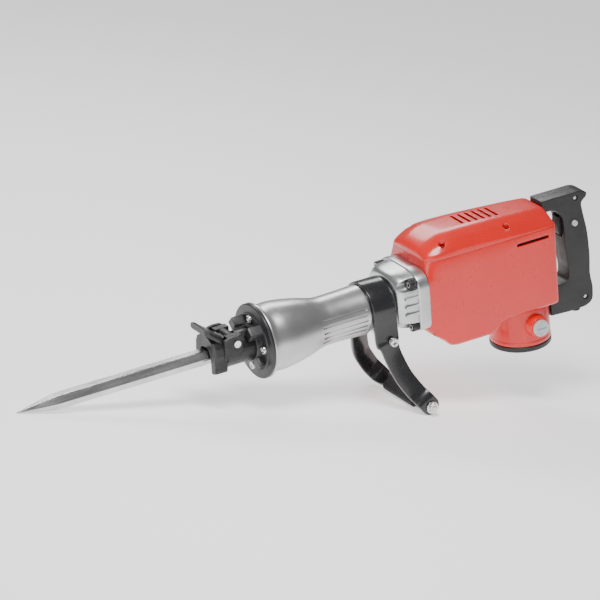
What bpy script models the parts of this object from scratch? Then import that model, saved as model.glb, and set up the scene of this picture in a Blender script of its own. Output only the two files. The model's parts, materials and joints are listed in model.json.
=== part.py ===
"""Electric jackhammer: a heavy breaker with a crank-driven air hammer, a swivelling side handle and a rear grip.

Everything is modelled in the tool frame, in millimetres: X runs from the point (-X) to the rear grip (+X) along
the hammer axis, Z is up, and the face of the black front cover is X = 0. place_all() then turns the tool nose-down
about Y and lifts it, so that it rests on its point and its side handle on Z = 0.
"""
from math import cos, pi, radians, sin

import bmesh
import bpy
from mathutils import Matrix, Vector

MM = 0.001

# Stance: the lean that puts the point and the side grip on one floor, and the shift to the base's centre.
REST_LEAN = radians(-14.40)
SHIFT_X = -111.4
SHIFT_Y = 3.5
SHIFT_Z = 106.8

# Chisel and nose
TIP_X = -426.0
POINT_END_X = -360.0
CHISEL_END_X = 34.0
CHISEL_FLATS = 24.0
HEX_BORE_FLATS = 25.0
NOSE_R = 27.0
PIVOT_X = -47.5
PIVOT_Z = 21.0
PIVOT_PIN_R = 4.7
CAM_R = 11.2

# Front cover and barrel
COVER_R = 62.0
COVER_T = 5.7
FRONT_BOLT_CIRCLE_R = 40.0
BARREL_BORE_R = 31.0
COLLAR_R = 38.0
COLLAR_START_X = 196.6
COLLAR_END_X = 258.0

# Air hammer
LINER_BORE_R = 22.3
PISTON_R = 22.0
WRIST_X = 212.0
CRANK_X = 351.0
CRANK_THROW = 12.0

# Gear train: every pitch radius equals its tooth count because the module is 2 mm.
MODULE = 2.0
CRANK_TEETH = 40
IDLER_TEETH = 18
SMALL_TEETH = 14
LARGE_TEETH = 48
MOTOR_TEETH = 9
IDLER_X = CRANK_X + CRANK_TEETH + IDLER_TEETH
LAYSHAFT_X = IDLER_X + IDLER_TEETH + SMALL_TEETH
MOTOR_X = LAYSHAFT_X + LARGE_TEETH + MOTOR_TEETH

# Housings
CASE_FRONT_X = 243.0
FLANGE_X = 275.0
HOUSING_X = 295.0
HOUSING_REAR_X = 541.0
SPLIT_Z = 72.0
HOUSING_FLOOR_Z = -85.0
MOTOR_FLANGE_Z = -66.0
MOTOR_HOUSING_R = 50.0
MOTOR_BORE_R = 45.0
STATOR_R = 36.5
TAIL_TOP_Z = -132.0
TAIL_BOTTOM_Z = -141.5
TAIL_R = 51.4
BRUSH_Z = -96.0
CASE_BOLTS = ((-50.0, 41.0), (-50.0, -33.0), (50.0, 41.0), (50.0, -33.0))
HOOD_SCREWS = ((330.0, -48.5), (452.0, -48.5), (330.0, 48.5), (452.0, 48.5))

# Side handle: the arms follow one bent line in the XZ plane, given as (distance below the knee, x, z).
BAND_X = 219.0
BAND_KNEE_Z = -46.0
ARM_LINE = ((0.0, 219.0, -46.0), (30.0, 226.0, -75.0), (67.0, 238.0, -110.0), (104.0, 256.0, -142.0),
            (150.0, 282.3, -179.8))
BAND_T = 7.2
BAND_MID_R = 41.95
BAND_TOP_W = 42.0
ARM_W = 31.0
GRIP_BAND_W = 23.0
BAR_S = 132.0
CLAMP_X = 226.0
CLAMP_Z = -47.0

# Rear handle
REAR_HALF_W = 17.5
SEAM_GAP = 0.15
GRIP_MID_X = 603.0
GLAND_X = 608.0
WELD_DISTANCE = 0.02


# ---------------------------------------------------------------- materials

def principled(name, color, roughness, metallic=0.0):
    """Return a Principled material of one colour."""
    material = bpy.data.materials.new(name)
    material.use_nodes = True
    shader = material.node_tree.nodes["Principled BSDF"]
    shader.inputs["Base Color"].default_value = (*color, 1.0)
    shader.inputs["Roughness"].default_value = roughness
    shader.inputs["Metallic"].default_value = metallic
    material.diffuse_color = (*color, 1.0)
    return material


def make_materials():
    """Return every material of the tool by its short name."""
    return {
        "red": principled("red_enamel", (0.80, 0.045, 0.035), 0.35),
        "black": principled("black_enamel", (0.02, 0.02, 0.022), 0.35),
        "plastic": principled("black_moulding", (0.018, 0.018, 0.02), 0.5),
        "cast": principled("cast_aluminium", (0.62, 0.63, 0.64), 0.42, 1.0),
        "steel": principled("ground_steel", (0.55, 0.56, 0.58), 0.28, 1.0),
        "dark_steel": principled("blackened_steel", (0.05, 0.05, 0.055), 0.38, 0.8),
        "zinc": principled("zinc_plate", (0.72, 0.73, 0.75), 0.3, 1.0),
        "rubber": principled("black_rubber", (0.03, 0.03, 0.03), 0.8),
        "grey": principled("grey_moulding", (0.30, 0.31, 0.33), 0.5),
        "copper": principled("copper_winding", (0.60, 0.28, 0.14), 0.4, 1.0),
        "carbon": principled("carbon_brush", (0.06, 0.06, 0.06), 0.6),
    }


# ---------------------------------------------------------------- mesh helpers

def finish(name, bm, material, origin=(0.0, 0.0, 0.0), smooth=True):
    """Turn a millimetre bmesh into a metre object whose origin is at the given millimetre point."""
    bmesh.ops.remove_doubles(bm, verts=bm.verts, dist=0.001)
    bmesh.ops.recalc_face_normals(bm, faces=bm.faces)
    bmesh.ops.translate(bm, verts=bm.verts, vec=-Vector(origin))
    bmesh.ops.scale(bm, verts=bm.verts, vec=(MM, MM, MM))
    for face in bm.faces:
        face.smooth = smooth
    mesh = bpy.data.meshes.new(name)
    bm.to_mesh(mesh)
    bm.free()
    mesh.set_sharp_from_angle(angle=radians(32))
    obj = bpy.data.objects.new(name, mesh)
    obj.location = Vector(origin) * MM
    bpy.context.scene.collection.objects.link(obj)
    if material:
        mesh.materials.append(material)
    return obj


def helper(name, bm):
    """Make a hidden operand for a Boolean."""
    obj = finish(name, bm, None, smooth=False)
    obj.hide_render = True
    obj.display_type = "WIRE"
    return obj


def boolean(obj, operand, operation):
    """Add an exact Boolean between an object and a hidden operand."""
    modifier = obj.modifiers.new(operand.name, "BOOLEAN")
    modifier.object = operand
    modifier.operation = operation
    modifier.solver = "EXACT"


def cut(obj, name, bm):
    """Cut a millimetre bmesh out of an object."""
    boolean(obj, helper(name, bm), "DIFFERENCE")


def join(obj, name, bm):
    """Join a millimetre bmesh onto an object."""
    boolean(obj, helper(name, bm), "UNION")


def bevel(obj, width, segments=2, angle=40.0):
    """Round the sharp edges of an object; the width is in millimetres."""
    modifier = obj.modifiers.new("edge_round", "BEVEL")
    modifier.width = width * MM
    modifier.segments = segments
    modifier.limit_method = "ANGLE"
    modifier.angle_limit = radians(angle)
    modifier.harden_normals = False


AXIS_TURN = {
    "X": Matrix(((0, 0, 1), (1, 0, 0), (0, 1, 0))).to_4x4(),
    "Y": Matrix(((0, 1, 0), (0, 0, 1), (1, 0, 0))).to_4x4(),
    "Z": Matrix.Identity(4),
}


def turned(profile, axis="X", centre=(0.0, 0.0), steps=28, bm=None):
    """Revolve a (distance along axis, radius) outline; an open outline is closed along the axis itself."""
    bm = bm or bmesh.new()
    old = set(bm.verts)
    verts = [bm.verts.new((radius, 0.0, along)) for along, radius in profile]
    edges = [bm.edges.new(pair) for pair in zip(verts, verts[1:])]
    if profile[0][1] > 0 and profile[-1][1] > 0:
        edges.append(bm.edges.new((verts[-1], verts[0])))
    bmesh.ops.spin(
        bm, geom=verts + edges, cent=(0, 0, 0), axis=(0, 0, 1), dvec=(0, 0, 0), angle=2 * pi, steps=steps,
        use_duplicate=False,
    )
    new = [v for v in bm.verts if v not in old]
    bmesh.ops.remove_doubles(bm, verts=new, dist=0.001)
    new = [v for v in bm.verts if v not in old]
    shift = {"X": (0, *centre), "Y": (centre[0], 0, centre[1]), "Z": (*centre, 0)}[axis]
    bmesh.ops.transform(bm, matrix=Matrix.Translation(shift) @ AXIS_TURN[axis], verts=new)
    return bm


def rod(radius, start, end, axis="X", centre=(0.0, 0.0), steps=20, bm=None):
    """Make a solid cylinder along an axis."""
    return turned([(start, 0), (start, radius), (end, radius), (end, 0)], axis, centre, steps, bm)


def tube(inner, outer, start, end, axis="X", centre=(0.0, 0.0), steps=32, bm=None):
    """Make a plain tube along an axis."""
    return turned([(start, inner), (start, outer), (end, outer), (end, inner)], axis, centre, steps, bm)


def box(low, high, bm=None):
    """Make an axis-aligned block between two corners."""
    bm = bm or bmesh.new()
    size = Vector(high) - Vector(low)
    middle = (Vector(high) + Vector(low)) / 2
    matrix = Matrix.Translation(middle) @ Matrix.Diagonal((*size, 1.0))
    bmesh.ops.create_cube(bm, size=1.0, matrix=matrix)
    return bm


def loft(rings, bm=None):
    """Skin a list of equal-length rings of points and cap both ends; quads that are not flat are split."""
    bm = bm or bmesh.new()
    loops = [[bm.verts.new(point) for point in ring] for ring in rings]
    bent = []
    for first, second in zip(loops, loops[1:]):
        count = len(first)
        for i in range(count):
            j = (i + 1) % count
            face = bm.faces.new((first[i], first[j], second[j], second[i]))
            face.normal_update()
            if abs((second[i].co - first[i].co).dot(face.normal)) > 0.0005:
                bent.append(face)
    bm.faces.new(list(reversed(loops[0])))
    bm.faces.new(loops[-1])
    bmesh.ops.triangulate(bm, faces=bent)
    return bm


def rounded(corners, steps=3):
    """Round a polygon given as (u, v, radius) corners; each corner becomes a short curve."""
    points = []
    count = len(corners)
    for i in range(count):
        before = Vector(corners[i - 1][:2])
        here = Vector(corners[i][:2])
        after = Vector(corners[(i + 1) % count][:2])
        radius = corners[i][2]
        back = (before - here).normalized() * min(radius, (before - here).length * 0.49)
        ahead = (after - here).normalized() * min(radius, (after - here).length * 0.49)
        for k in range(steps + 1):
            t = k / steps
            points.append(here + back * (1 - t) ** 2 + ahead * t ** 2)
    return [(p.x, p.y) for p in points]


def mirrored(half):
    """Complete a closed (y, z, radius) polygon from its +Y corners, listed from bottom to top."""
    return half + [(-y, z, radius) for y, z, radius in reversed(half)]


def along_x(x, outline):
    """Stand a (y, z) outline at one station of the X axis."""
    return [(x, y, z) for y, z in outline]


def plate_xz(outline, y_start, y_end, bm=None):
    """Extrude an (x, z) outline along Y."""
    return loft([[(x, y, z) for x, z in outline] for y in (y_start, y_end)], bm)


def hexagon(flats, start, end, axis="X", centre=(0.0, 0.0), turn=0.0, bm=None):
    """Make a hexagonal bar; its corners start on the first cross axis."""
    bm = bm or bmesh.new()
    old = set(bm.verts)
    radius = flats / 3 ** 0.5
    corners = [(radius * cos(turn + k * pi / 3), radius * sin(turn + k * pi / 3)) for k in range(6)]
    loft([[(u, v, along) for u, v in corners] for along in (start, end)], bm)
    new = [v for v in bm.verts if v not in old]
    shift = {"X": (0, *centre), "Y": (centre[0], 0, centre[1]), "Z": (*centre, 0)}[axis]
    bmesh.ops.transform(bm, matrix=Matrix.Translation(shift) @ AXIS_TURN[axis], verts=new)
    return bm


def gear(teeth, start, end, centre_x, phase, bore=0.0):
    """Make a spur gear about a vertical axis, with straight-sided teeth and a little backlash."""
    pitch = teeth * MODULE / 2
    root = pitch - 1.15 * MODULE
    crown = pitch + 0.9 * MODULE
    step = 2 * pi / teeth
    outline = []
    for k in range(teeth):
        middle = phase + k * step
        for angle, radius in ((-0.30, root), (-0.13, crown), (0.13, crown), (0.30, root)):
            outline.append((radius * cos(middle + angle * step), radius * sin(middle + angle * step)))
    bm = loft([[(centre_x + x, y, z) for x, y in outline] for z in (start, end)])
    if bore:
        return bm, rod(bore, start - 5, end + 5, "Z", (centre_x, 0), 32)
    return bm


def next_phase(phase, teeth, next_teeth):
    """Return the phase that puts a gap of the next gear, further along +X, over this gear's nearest tooth."""
    step = 2 * pi / teeth
    offset = (phase + step / 2) % step - step / 2
    return pi - offset * teeth / next_teeth + pi / next_teeth


def socket_bolt(name, material, head_r, head, shank_r, tip, axis="X", centre=(0.0, 0.0)):
    """Make a cap screw: head = (outer end, seat), shank from the seat to the tip, hexagon socket in the head."""
    outer, seat = head
    way = 1.0 if seat > outer else -1.0
    profile = [
        (outer, 0), (outer, head_r - 0.8), (outer + 0.8 * way, head_r), (seat, head_r),
        (seat, shank_r), (tip, shank_r), (tip, 0),
    ]
    obj = finish(name, turned(profile, axis, centre, 12), material)
    depth = abs(seat - outer) * 0.55
    socket = hexagon(head_r * 1.0, outer - way, outer + way * depth, axis, centre)
    cut(obj, name + "_socket", socket)
    return obj


# ---------------------------------------------------------------- nose

def make_bull_point(m):
    """Hexagonal point tool with a long taper and the notch that the retainer cam holds."""
    radius = CHISEL_FLATS / 3 ** 0.5
    stations = [
        (TIP_X, 0.07), (TIP_X + 5, 0.15), (POINT_END_X, 1.0), (CHISEL_END_X - 3, 1.0), (CHISEL_END_X, 0.86),
    ]
    rings = []
    for x, scale in stations:
        size = radius * scale
        rings.append([(x, size * sin(k * pi / 3), size * cos(k * pi / 3)) for k in range(6)])
    rings = [[(x, z, y) for x, y, z in ring] for ring in rings]
    obj = finish("bull_point", loft(rings), m["steel"], smooth=False)
    cut(obj, "chisel_notch", box((-70, -20, 8), (-22, 20, 20)))
    return obj


def make_tool_holder(m):
    """Steel nose: hexagon bore in front, anvil guide behind, slotted lugs for the retainer on top."""
    profile = [
        (-64, 11), (-64, 24.5), (-61.5, NOSE_R), (6.3, NOSE_R), (6.3, 33.5), (15.7, 33.5),
        (15.7, 30.6), (88, 30.6), (88, 16), (34.5, 16), (34.5, 11),
    ]
    obj = finish("tool_holder", turned(profile), m["dark_steel"])
    join(obj, "nose_lugs", box((-60, -27.2, -4), (-35, 27.2, 32)))
    cut(obj, "hex_bore", hexagon(HEX_BORE_FLATS, -70, 35.3))
    cut(obj, "cam_slot", box((-70, -13.6, 9.7), (-34, 13.6, 40)))
    cut(obj, "pivot_hole", rod(5, -40, 40, "Y", (PIVOT_X, PIVOT_Z), 16))
    return obj


def make_retainer(m):
    """Retainer lever: an open yoke over the point, ears on the pivot pin, a cam in the slot and a flared wing."""
    origin = (PIVOT_X, 0, PIVOT_Z)
    yoke = rounded([
        (17, -25, 3), (30, -25, 6), (33, 6, 14), (27, 31, 14), (0, 36, 4), (-27, 31, 14), (-33, 6, 14),
        (-30, -25, 6), (-17, -25, 3), (-17, 6, 10), (-10, 15.5, 6), (10, 15.5, 6), (17, 6, 10),
    ], 2)
    rings = []
    for x, grow in ((-88, 0.93), (-84.5, 1.0), (-66, 1.0)):
        rings.append([(x, y * grow if abs(y) > 17.5 else y, z) for y, z in yoke])
    lever = finish("retainer_lever", loft(rings), m["dark_steel"], origin)
    ear = rounded([(-70, -2, 2), (-48.5, 4, 4), (-37.5, 8, 5), (-37.5, 33, 5), (-58, 34, 4), (-70, 30, 2)], 2)
    join(lever, "near_ear", plate_xz(ear, -33.5, -27.9))
    join(lever, "far_ear", plate_xz(ear, 27.9, 33.5))
    join(lever, "tongue", box((-78, -13, 16), (-46, 13, 28)))
    join(lever, "cam", rod(CAM_R, -13.2, 13.2, "Y", (PIVOT_X, PIVOT_Z), 28))
    wing = []
    for x, low, high, half in ((-67, 22, 34, 27), (-80, 30, 43, 28), (-91, 39, 52, 28), (-98, 44, 55, 23)):
        wing.append([
            (x, y, z) for y, z in rounded([(-half, low, 4), (half, low, 4), (half, high, 6), (-half, high, 6)], 2)
        ])
    join(lever, "wing", loft(wing))
    cut(lever, "cam_flat", box((PIVOT_X + 8, -13.5, 5), (PIVOT_X + 16, 13.5, 40)))
    cut(lever, "lever_bore", rod(5, -40, 40, "Y", (PIVOT_X, PIVOT_Z), 16))
    return lever


def make_retainer_pin(m):
    """Cross pin of the retainer, with a flat head at each end."""
    profile = [(-36, 0), (-36, 6), (-34, 6), (-34, PIVOT_PIN_R), (34, PIVOT_PIN_R), (34, 6), (36, 6), (36, 0)]
    return finish("retainer_pin", turned(profile, "Y", (PIVOT_X, PIVOT_Z), 16), m["zinc"])


def make_front_cover(m):
    """Black bolted cover with a stepped face and four stop blocks round the nose."""
    profile = [
        (-11, NOSE_R + 0.4), (-11, 30.5), (-9.5, 32), (-2, 33), (-2, 47.5), (0, 49), (0, COVER_R - 1.5),
        (1.5, COVER_R), (COVER_T, COVER_R), (COVER_T, NOSE_R + 0.4),
    ]
    obj = finish("front_cover", turned(profile, steps=36), m["black"])
    for name, turn, reach in (("a", 45, 24), ("b", -45, 22), ("c", 135, 12), ("d", -135, 12)):
        block = box((-reach, -9, 31), (2, 9, 47))
        bmesh.ops.rotate(block, verts=block.verts, cent=(0, 0, 0), matrix=Matrix.Rotation(radians(turn), 3, "X"))
        join(obj, "stop_block_" + name, block)
    holes = bmesh.new()
    for k in range(4):
        centre = (FRONT_BOLT_CIRCLE_R * cos(k * pi / 2), FRONT_BOLT_CIRCLE_R * sin(k * pi / 2))
        rod(4.6, -15, 20, "X", centre, 10, holes)
    cut(obj, "front_cover_holes", holes)
    return obj


def make_front_bolts(m):
    """Four cap screws that hold the front cover."""
    for k in range(4):
        centre = (FRONT_BOLT_CIRCLE_R * cos(k * pi / 2), FRONT_BOLT_CIRCLE_R * sin(k * pi / 2))
        socket_bolt(f"front_bolt_{k + 1}", m["zinc"], 6.5, (-7.0, -2.3), 4.2, 36, "X", centre)


def make_damper(m):
    """Rubber ring behind the tool holder."""
    return finish("damper_ring", tube(17, 30.4, 88.4, 96, steps=28), m["rubber"])


# ---------------------------------------------------------------- barrel and air hammer

def make_barrel(m):
    """Cast barrel: wide in front, necked behind, with a plain collar that the side handle grips."""
    profile = [
        (6, 34), (6, 61.3), (6.7, 62), (10, 62), (12, 57.5), (20, 55.5), (35, 56.5), (67, 52.6), (94, 46.8),
        (117, 40.7), (137, 40), (175, 41), (194, 41.8), (COLLAR_START_X, 41), (COLLAR_START_X, COLLAR_R),
        (COLLAR_END_X, COLLAR_R), (COLLAR_END_X, BARREL_BORE_R), (16, BARREL_BORE_R), (16, 34),
    ]
    obj = finish("barrel", turned(profile, steps=36), m["cast"])
    flutes = bmesh.new()
    for side in (-1, 1):
        for k in range(4):
            low = box((110, 39.3, -1.8), (190, 46, 1.8), flutes)
            new = low.verts[-8:]
            turn = Matrix.Rotation(radians(-25 + 14 * k), 3, "X")
            for vert in new:
                vert.co = turn @ vert.co
                vert.co.y *= side
    bmesh.ops.recalc_face_normals(flutes, faces=flutes.faces)
    cut(obj, "barrel_flutes", flutes)
    holes = bmesh.new()
    for k in range(4):
        centre = (FRONT_BOLT_CIRCLE_R * cos(k * pi / 2), FRONT_BOLT_CIRCLE_R * sin(k * pi / 2))
        rod(4.6, 2, 40, "X", centre, 10, holes)
    cut(obj, "barrel_holes", holes)
    return obj


def make_liner(m):
    """Steel cylinder in which the striker and the piston run."""
    obj = finish("cylinder_liner", tube(LINER_BORE_R, 30.6, 98, 260, steps=40), m["steel"])
    cut(obj, "air_port", rod(2.5, 20, 40, "Z", (172, 0), 12))
    return obj


def make_impact_bolt(m):
    """Anvil that passes each blow to the point."""
    profile = [(37.2, 0), (37.2, 12), (39, 14), (60, 15.6), (99, 15.6), (99, 20), (112, 20), (114, 18), (114, 0)]
    return finish("impact_bolt", turned(profile, steps=24), m["steel"])


def make_striker(m):
    """Free striker with a seal groove."""
    profile = [
        (119, 0), (119, 14), (124, 19), (130, PISTON_R), (147, PISTON_R), (147, 20), (151, 20), (151, PISTON_R),
        (168, PISTON_R), (168, 0),
    ]
    return finish("striker", turned(profile, steps=28), m["steel"])


def make_piston(m):
    """Piston, hollow behind, with a cross hole for the wrist pin."""
    profile = [
        (182, 0), (182, 21), (183, PISTON_R), (190, PISTON_R), (190, 20.2), (194, 20.2), (194, PISTON_R),
        (232, PISTON_R), (232, 18.6), (200, 18.6), (200, 0),
    ]
    obj = finish("piston", turned(profile, steps=28), m["steel"])
    cut(obj, "wrist_hole", rod(4.8, -30, 30, "Z", (WRIST_X, 0), 14))
    return obj


def make_piston_pin(m):
    """Wrist pin across the piston."""
    return finish("piston_pin", rod(4.5, -21, 21, "Z", (WRIST_X, 0), 14), m["steel"])


def make_connecting_rod(m):
    """Connecting rod at rear dead centre; its open front end stops a full stroke short of the wrist pin."""
    pin_x = CRANK_X + CRANK_THROW
    eye_x = WRIST_X + 4 * CRANK_THROW
    obj = finish("connecting_rod", tube(8.3, 14, -8, 8, "Z", (pin_x, 0), 24), m["steel"], (pin_x, 0, 0))
    join(obj, "rod_shank", box((eye_x + 5.5, -4, -4.5), (pin_x - 9.5, 4, 4.5)))
    saddle = rounded([
        (eye_x + 0.3, -5, 1), (eye_x + 8, -5, 2), (eye_x + 10, 0, 2), (eye_x + 8, 5, 2), (eye_x + 0.3, 5, 1),
    ], 2)
    join(obj, "rod_saddle", loft([[(x, y, z) for x, y in saddle] for z in (-5, 5)]))
    cut(obj, "saddle_sweep", rod(CRANK_THROW + 4.8, -9, 9, "Z", (eye_x - CRANK_THROW, 0), 48))
    return obj


# ---------------------------------------------------------------- gears and motor

def make_crankshaft(m):
    """Crankshaft at rear dead centre: pin below, web, and a long journal above."""
    pin_x = CRANK_X + CRANK_THROW
    journal = [(12, 0), (12, 26), (22, 26), (22, 10), (60, 10), (60, 0)]
    obj = finish("crankshaft", turned(journal, "Z", (CRANK_X, 0), 28), m["steel"], (CRANK_X, 0, 0))
    join(obj, "crank_pin", rod(8, -10, 14, "Z", (pin_x, 0), 20))
    return obj


def make_gear_train(m):
    """Crank gear, idler and layshaft, all at rest in mesh; returns the phase of the motor pinion."""
    crank_phase = 0.0
    bm, bore = gear(CRANK_TEETH, 26, 38, CRANK_X, crank_phase, 10.3)
    crank_gear = finish("crank_gear", bm, m["steel"], (CRANK_X, 0, 0), smooth=False)
    cut(crank_gear, "crank_gear_bore", bore)

    idler_phase = next_phase(crank_phase, CRANK_TEETH, IDLER_TEETH)
    idler = finish("idler_gear", gear(IDLER_TEETH, 26, 38, IDLER_X, idler_phase), m["steel"], (IDLER_X, 0, 0), False)
    join(idler, "idler_axle", rod(6, 8, 58, "Z", (IDLER_X, 0), 16))

    small_phase = next_phase(idler_phase, IDLER_TEETH, SMALL_TEETH)
    large_phase = 0.0
    layshaft = finish(
        "layshaft", gear(SMALL_TEETH, 25, 39, LAYSHAFT_X, small_phase), m["steel"], (LAYSHAFT_X, 0, 0), False)
    join(layshaft, "large_gear", gear(LARGE_TEETH, -20, -10, LAYSHAFT_X, large_phase))
    join(layshaft, "layshaft_axle", rod(8, -40, 58, "Z", (LAYSHAFT_X, 0), 16))
    return next_phase(large_phase, LARGE_TEETH, MOTOR_TEETH)


def make_armature(m, pinion_phase):
    """Armature: pinion, shaft, iron core and commutator in one turned piece."""
    core = [
        (-127, 0), (-127, 6), (-108, 6), (-108, 15), (-90, 15), (-90, 18), (-87, 22.5), (-43, 22.5), (-41, 18),
        (-39, 6), (-8, 6), (-8, 0),
    ]
    obj = finish("armature", turned(core, "Z", (MOTOR_X, 0), 24), m["copper"], (MOTOR_X, 0, 0))
    join(obj, "motor_pinion", gear(MOTOR_TEETH, -21, -9, MOTOR_X, pinion_phase))
    return obj


def make_motor(m):
    """Field, fan, bearings and brushes of the motor."""
    centre = (MOTOR_X, 0)
    stator = finish("stator", tube(23.7, STATOR_R, -88, -42, "Z", centre, 32), m["grey"])
    cut(stator, "field_slots", box((MOTOR_X - 9, -30, -95), (MOTOR_X + 9, 30, -38)))
    fan = finish("fan", tube(6.3, 12, -38.5, -28, "Z", centre, 20), m["plastic"], (MOTOR_X, 0, 0))
    join(fan, "fan_disc", tube(9, 34, -38.5, -36.5, "Z", centre, 28))
    blades = bmesh.new()
    for k in range(7):
        turn = Matrix.Rotation(2 * k * pi / 7, 3, "Z")
        box((MOTOR_X + 10.5, -0.9, -37), (MOTOR_X + 33, 0.9, -29), blades)
        bmesh.ops.rotate(blades, verts=blades.verts[-8:], cent=(MOTOR_X, 0, 0), matrix=turn)
    join(fan, "fan_blades", blades)
    finish("motor_bearing_top", tube(6.3, 14, -27.5, -22, "Z", centre, 20), m["steel"])
    finish("motor_bearing_low", tube(6.3, 13, -126, -118, "Z", centre, 20), m["steel"])
    finish("crank_bearing", tube(10.3, 22, 44, 58, "Z", (CRANK_X, 0), 24), m["steel"])
    for name, side in (("near", -1), ("far", 1)):
        low = (MOTOR_X - 5, min(side * 15.4, side * 46), BRUSH_Z - 4)
        high = (MOTOR_X + 5, max(side * 15.4, side * 46), BRUSH_Z + 4)
        finish("brush_" + name, box(low, high), m["carbon"], smooth=False)
        profile = [
            (50 * side, 0), (50 * side, 8.5), (63.3 * side, 8.5), (63.3 * side, 14), (68.5 * side, 14),
            (70 * side, 12.5), (70 * side, 0),
        ]
        cap = finish("brush_cap_" + name, turned(profile, "Y", (MOTOR_X, BRUSH_Z), 18), m["grey"])
        slot = box((MOTOR_X - 9, min(68 * side, 72 * side), BRUSH_Z - 1.3),
                   (MOTOR_X + 9, max(68 * side, 72 * side), BRUSH_Z + 1.3))
        cut(cap, "cap_slot_" + name, slot)


# ---------------------------------------------------------------- housings

def flange_outline(half_w, low, high, shoulder=14.0):
    """Flat-bottomed outline with an arched top, in the YZ plane."""
    return rounded(mirrored([(half_w, low, 12), (half_w, high - shoulder, 16), (half_w - 24, high, 22)]), 3)


def make_crankcase(m):
    """Cast crankcase: barrel socket, ribbed body with four bolt pockets, arched rear flange."""
    stations = [
        (CASE_FRONT_X, 47, -31, 49, 18), (250, 52, -34, 53, 18), (260, 55.5, -37, 55, 17), (FLANGE_X, 57, -39, 57, 16),
    ]
    rings = [along_x(x, flange_outline(w, low, high, drop)) for x, w, low, high, drop in stations]
    obj = finish("crankcase", loft(rings), m["cast"])
    flange = [(FLANGE_X - 0.5, 0.0), (FLANGE_X + 1, 1.2), (HOUSING_X - 0.3, 1.2)]
    plates = [along_x(x, flange_outline(60.3 + grow, -40 - grow, 58 + grow)) for x, grow in flange]
    join(obj, "rear_flange", loft(plates))
    ribs = bmesh.new()
    for z in (20, 6, -8):
        box((252, -59.5, z - 2.4), (FLANGE_X + 0.5, 59.5, z + 2.4), ribs)
    join(obj, "side_ribs", ribs)
    pockets = bmesh.new()
    shanks = bmesh.new()
    for y, z in CASE_BOLTS:
        rod(10.5, 236, FLANGE_X, "X", (y, z), 16, pockets)
        rod(4.8, 270, 305, "X", (y, z), 10, shanks)
    cut(obj, "bolt_pockets", pockets)
    cut(obj, "bolt_holes", shanks)
    cut(obj, "barrel_socket", rod(COLLAR_R + 0.4, 240, 262, steps=36))
    cut(obj, "crank_window", box((260.5, -34, -24), (305, 34, 24)))
    return obj


def make_crankcase_bolts(m):
    """Four black cap screws that hold the crankcase to the red housing."""
    for k, (y, z) in enumerate(CASE_BOLTS):
        socket_bolt(f"crankcase_bolt_{k + 1}", m["dark_steel"], 8.0, (262.5, FLANGE_X - 0.3), 4.4, 305, "X", (y, z))


def housing_section(floor, half_w, top_half_w, inset=0.0):
    """Section of the lower housing: flat floor, rounded lower edge, upright wall that leans in at the front."""
    side = half_w - inset
    low = floor + inset
    return rounded(mirrored([
        (side, low, 8), (side, 40, 8), (top_half_w - inset, SPLIT_Z - 0.2 + inset * 2, 0.4),
    ]), 2)


def make_gear_housing(m):
    """Red lower housing that carries the gear train; open on top, in front and under the motor."""
    stations = [
        (HOUSING_X, -42, 60.5, 46), (300, -56, 61, 52), (309, -63, 61, 57), (320, -71, 61, 60),
        (342, HOUSING_FLOOR_Z, 61, 61), (408, HOUSING_FLOOR_Z, 61, 61), (440, MOTOR_FLANGE_Z, 61, 61),
        (535, MOTOR_FLANGE_Z, 60, 60), (539, MOTOR_FLANGE_Z, 58.5, 58.5), (HOUSING_REAR_X, MOTOR_FLANGE_Z + 1, 56, 56),
    ]
    rings = [along_x(x, housing_section(floor, w, top)) for x, floor, w, top in stations]
    obj = finish("gear_housing", loft(rings), m["red"])
    inner = [
        (307, -60, 61, 56), (320, -68, 61, 60), (345, HOUSING_FLOOR_Z, 61, 61), (406, HOUSING_FLOOR_Z, 61, 61),
        (436, MOTOR_FLANGE_Z, 61, 61), (536, MOTOR_FLANGE_Z, 60, 60),
    ]
    hollow = [along_x(x, housing_section(floor, w, top, 5.0)) for x, floor, w, top in inner]
    cut(obj, "gear_space", loft(hollow))
    cut(obj, "front_window", box((290, -34, -24), (315, 34, 24)))
    cut(obj, "motor_opening", rod(STATOR_R + 0.5, -95, -55, "Z", (MOTOR_X, 0), 40))
    cut(obj, "side_vents", box((464, -70, 54.5), (526, 70, 60.5)))
    holes = bmesh.new()
    for y, z in CASE_BOLTS:
        rod(4.8, 290, 312, "X", (y, z), 10, holes)
    cut(obj, "housing_bolt_holes", holes)
    return obj


def hood_section(top, half_w, ridge, shoulder, inset=0.0):
    """Section of the hood: upright skirt, shoulder, sloped strip and flat crown; ridge is (half width, height)."""
    base = SPLIT_Z + 0.2 if inset == 0 else SPLIT_Z - 4.0
    ridge_w, ridge_z = ridge
    return rounded(mirrored([
        (half_w - inset, base, 0.3), (half_w - 0.8 - inset, shoulder - inset * 0.6, 3),
        (ridge_w - inset * 0.6, ridge_z - inset, 4), (ridge_w * 0.56, top - inset, 6),
    ]), 2)


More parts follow.
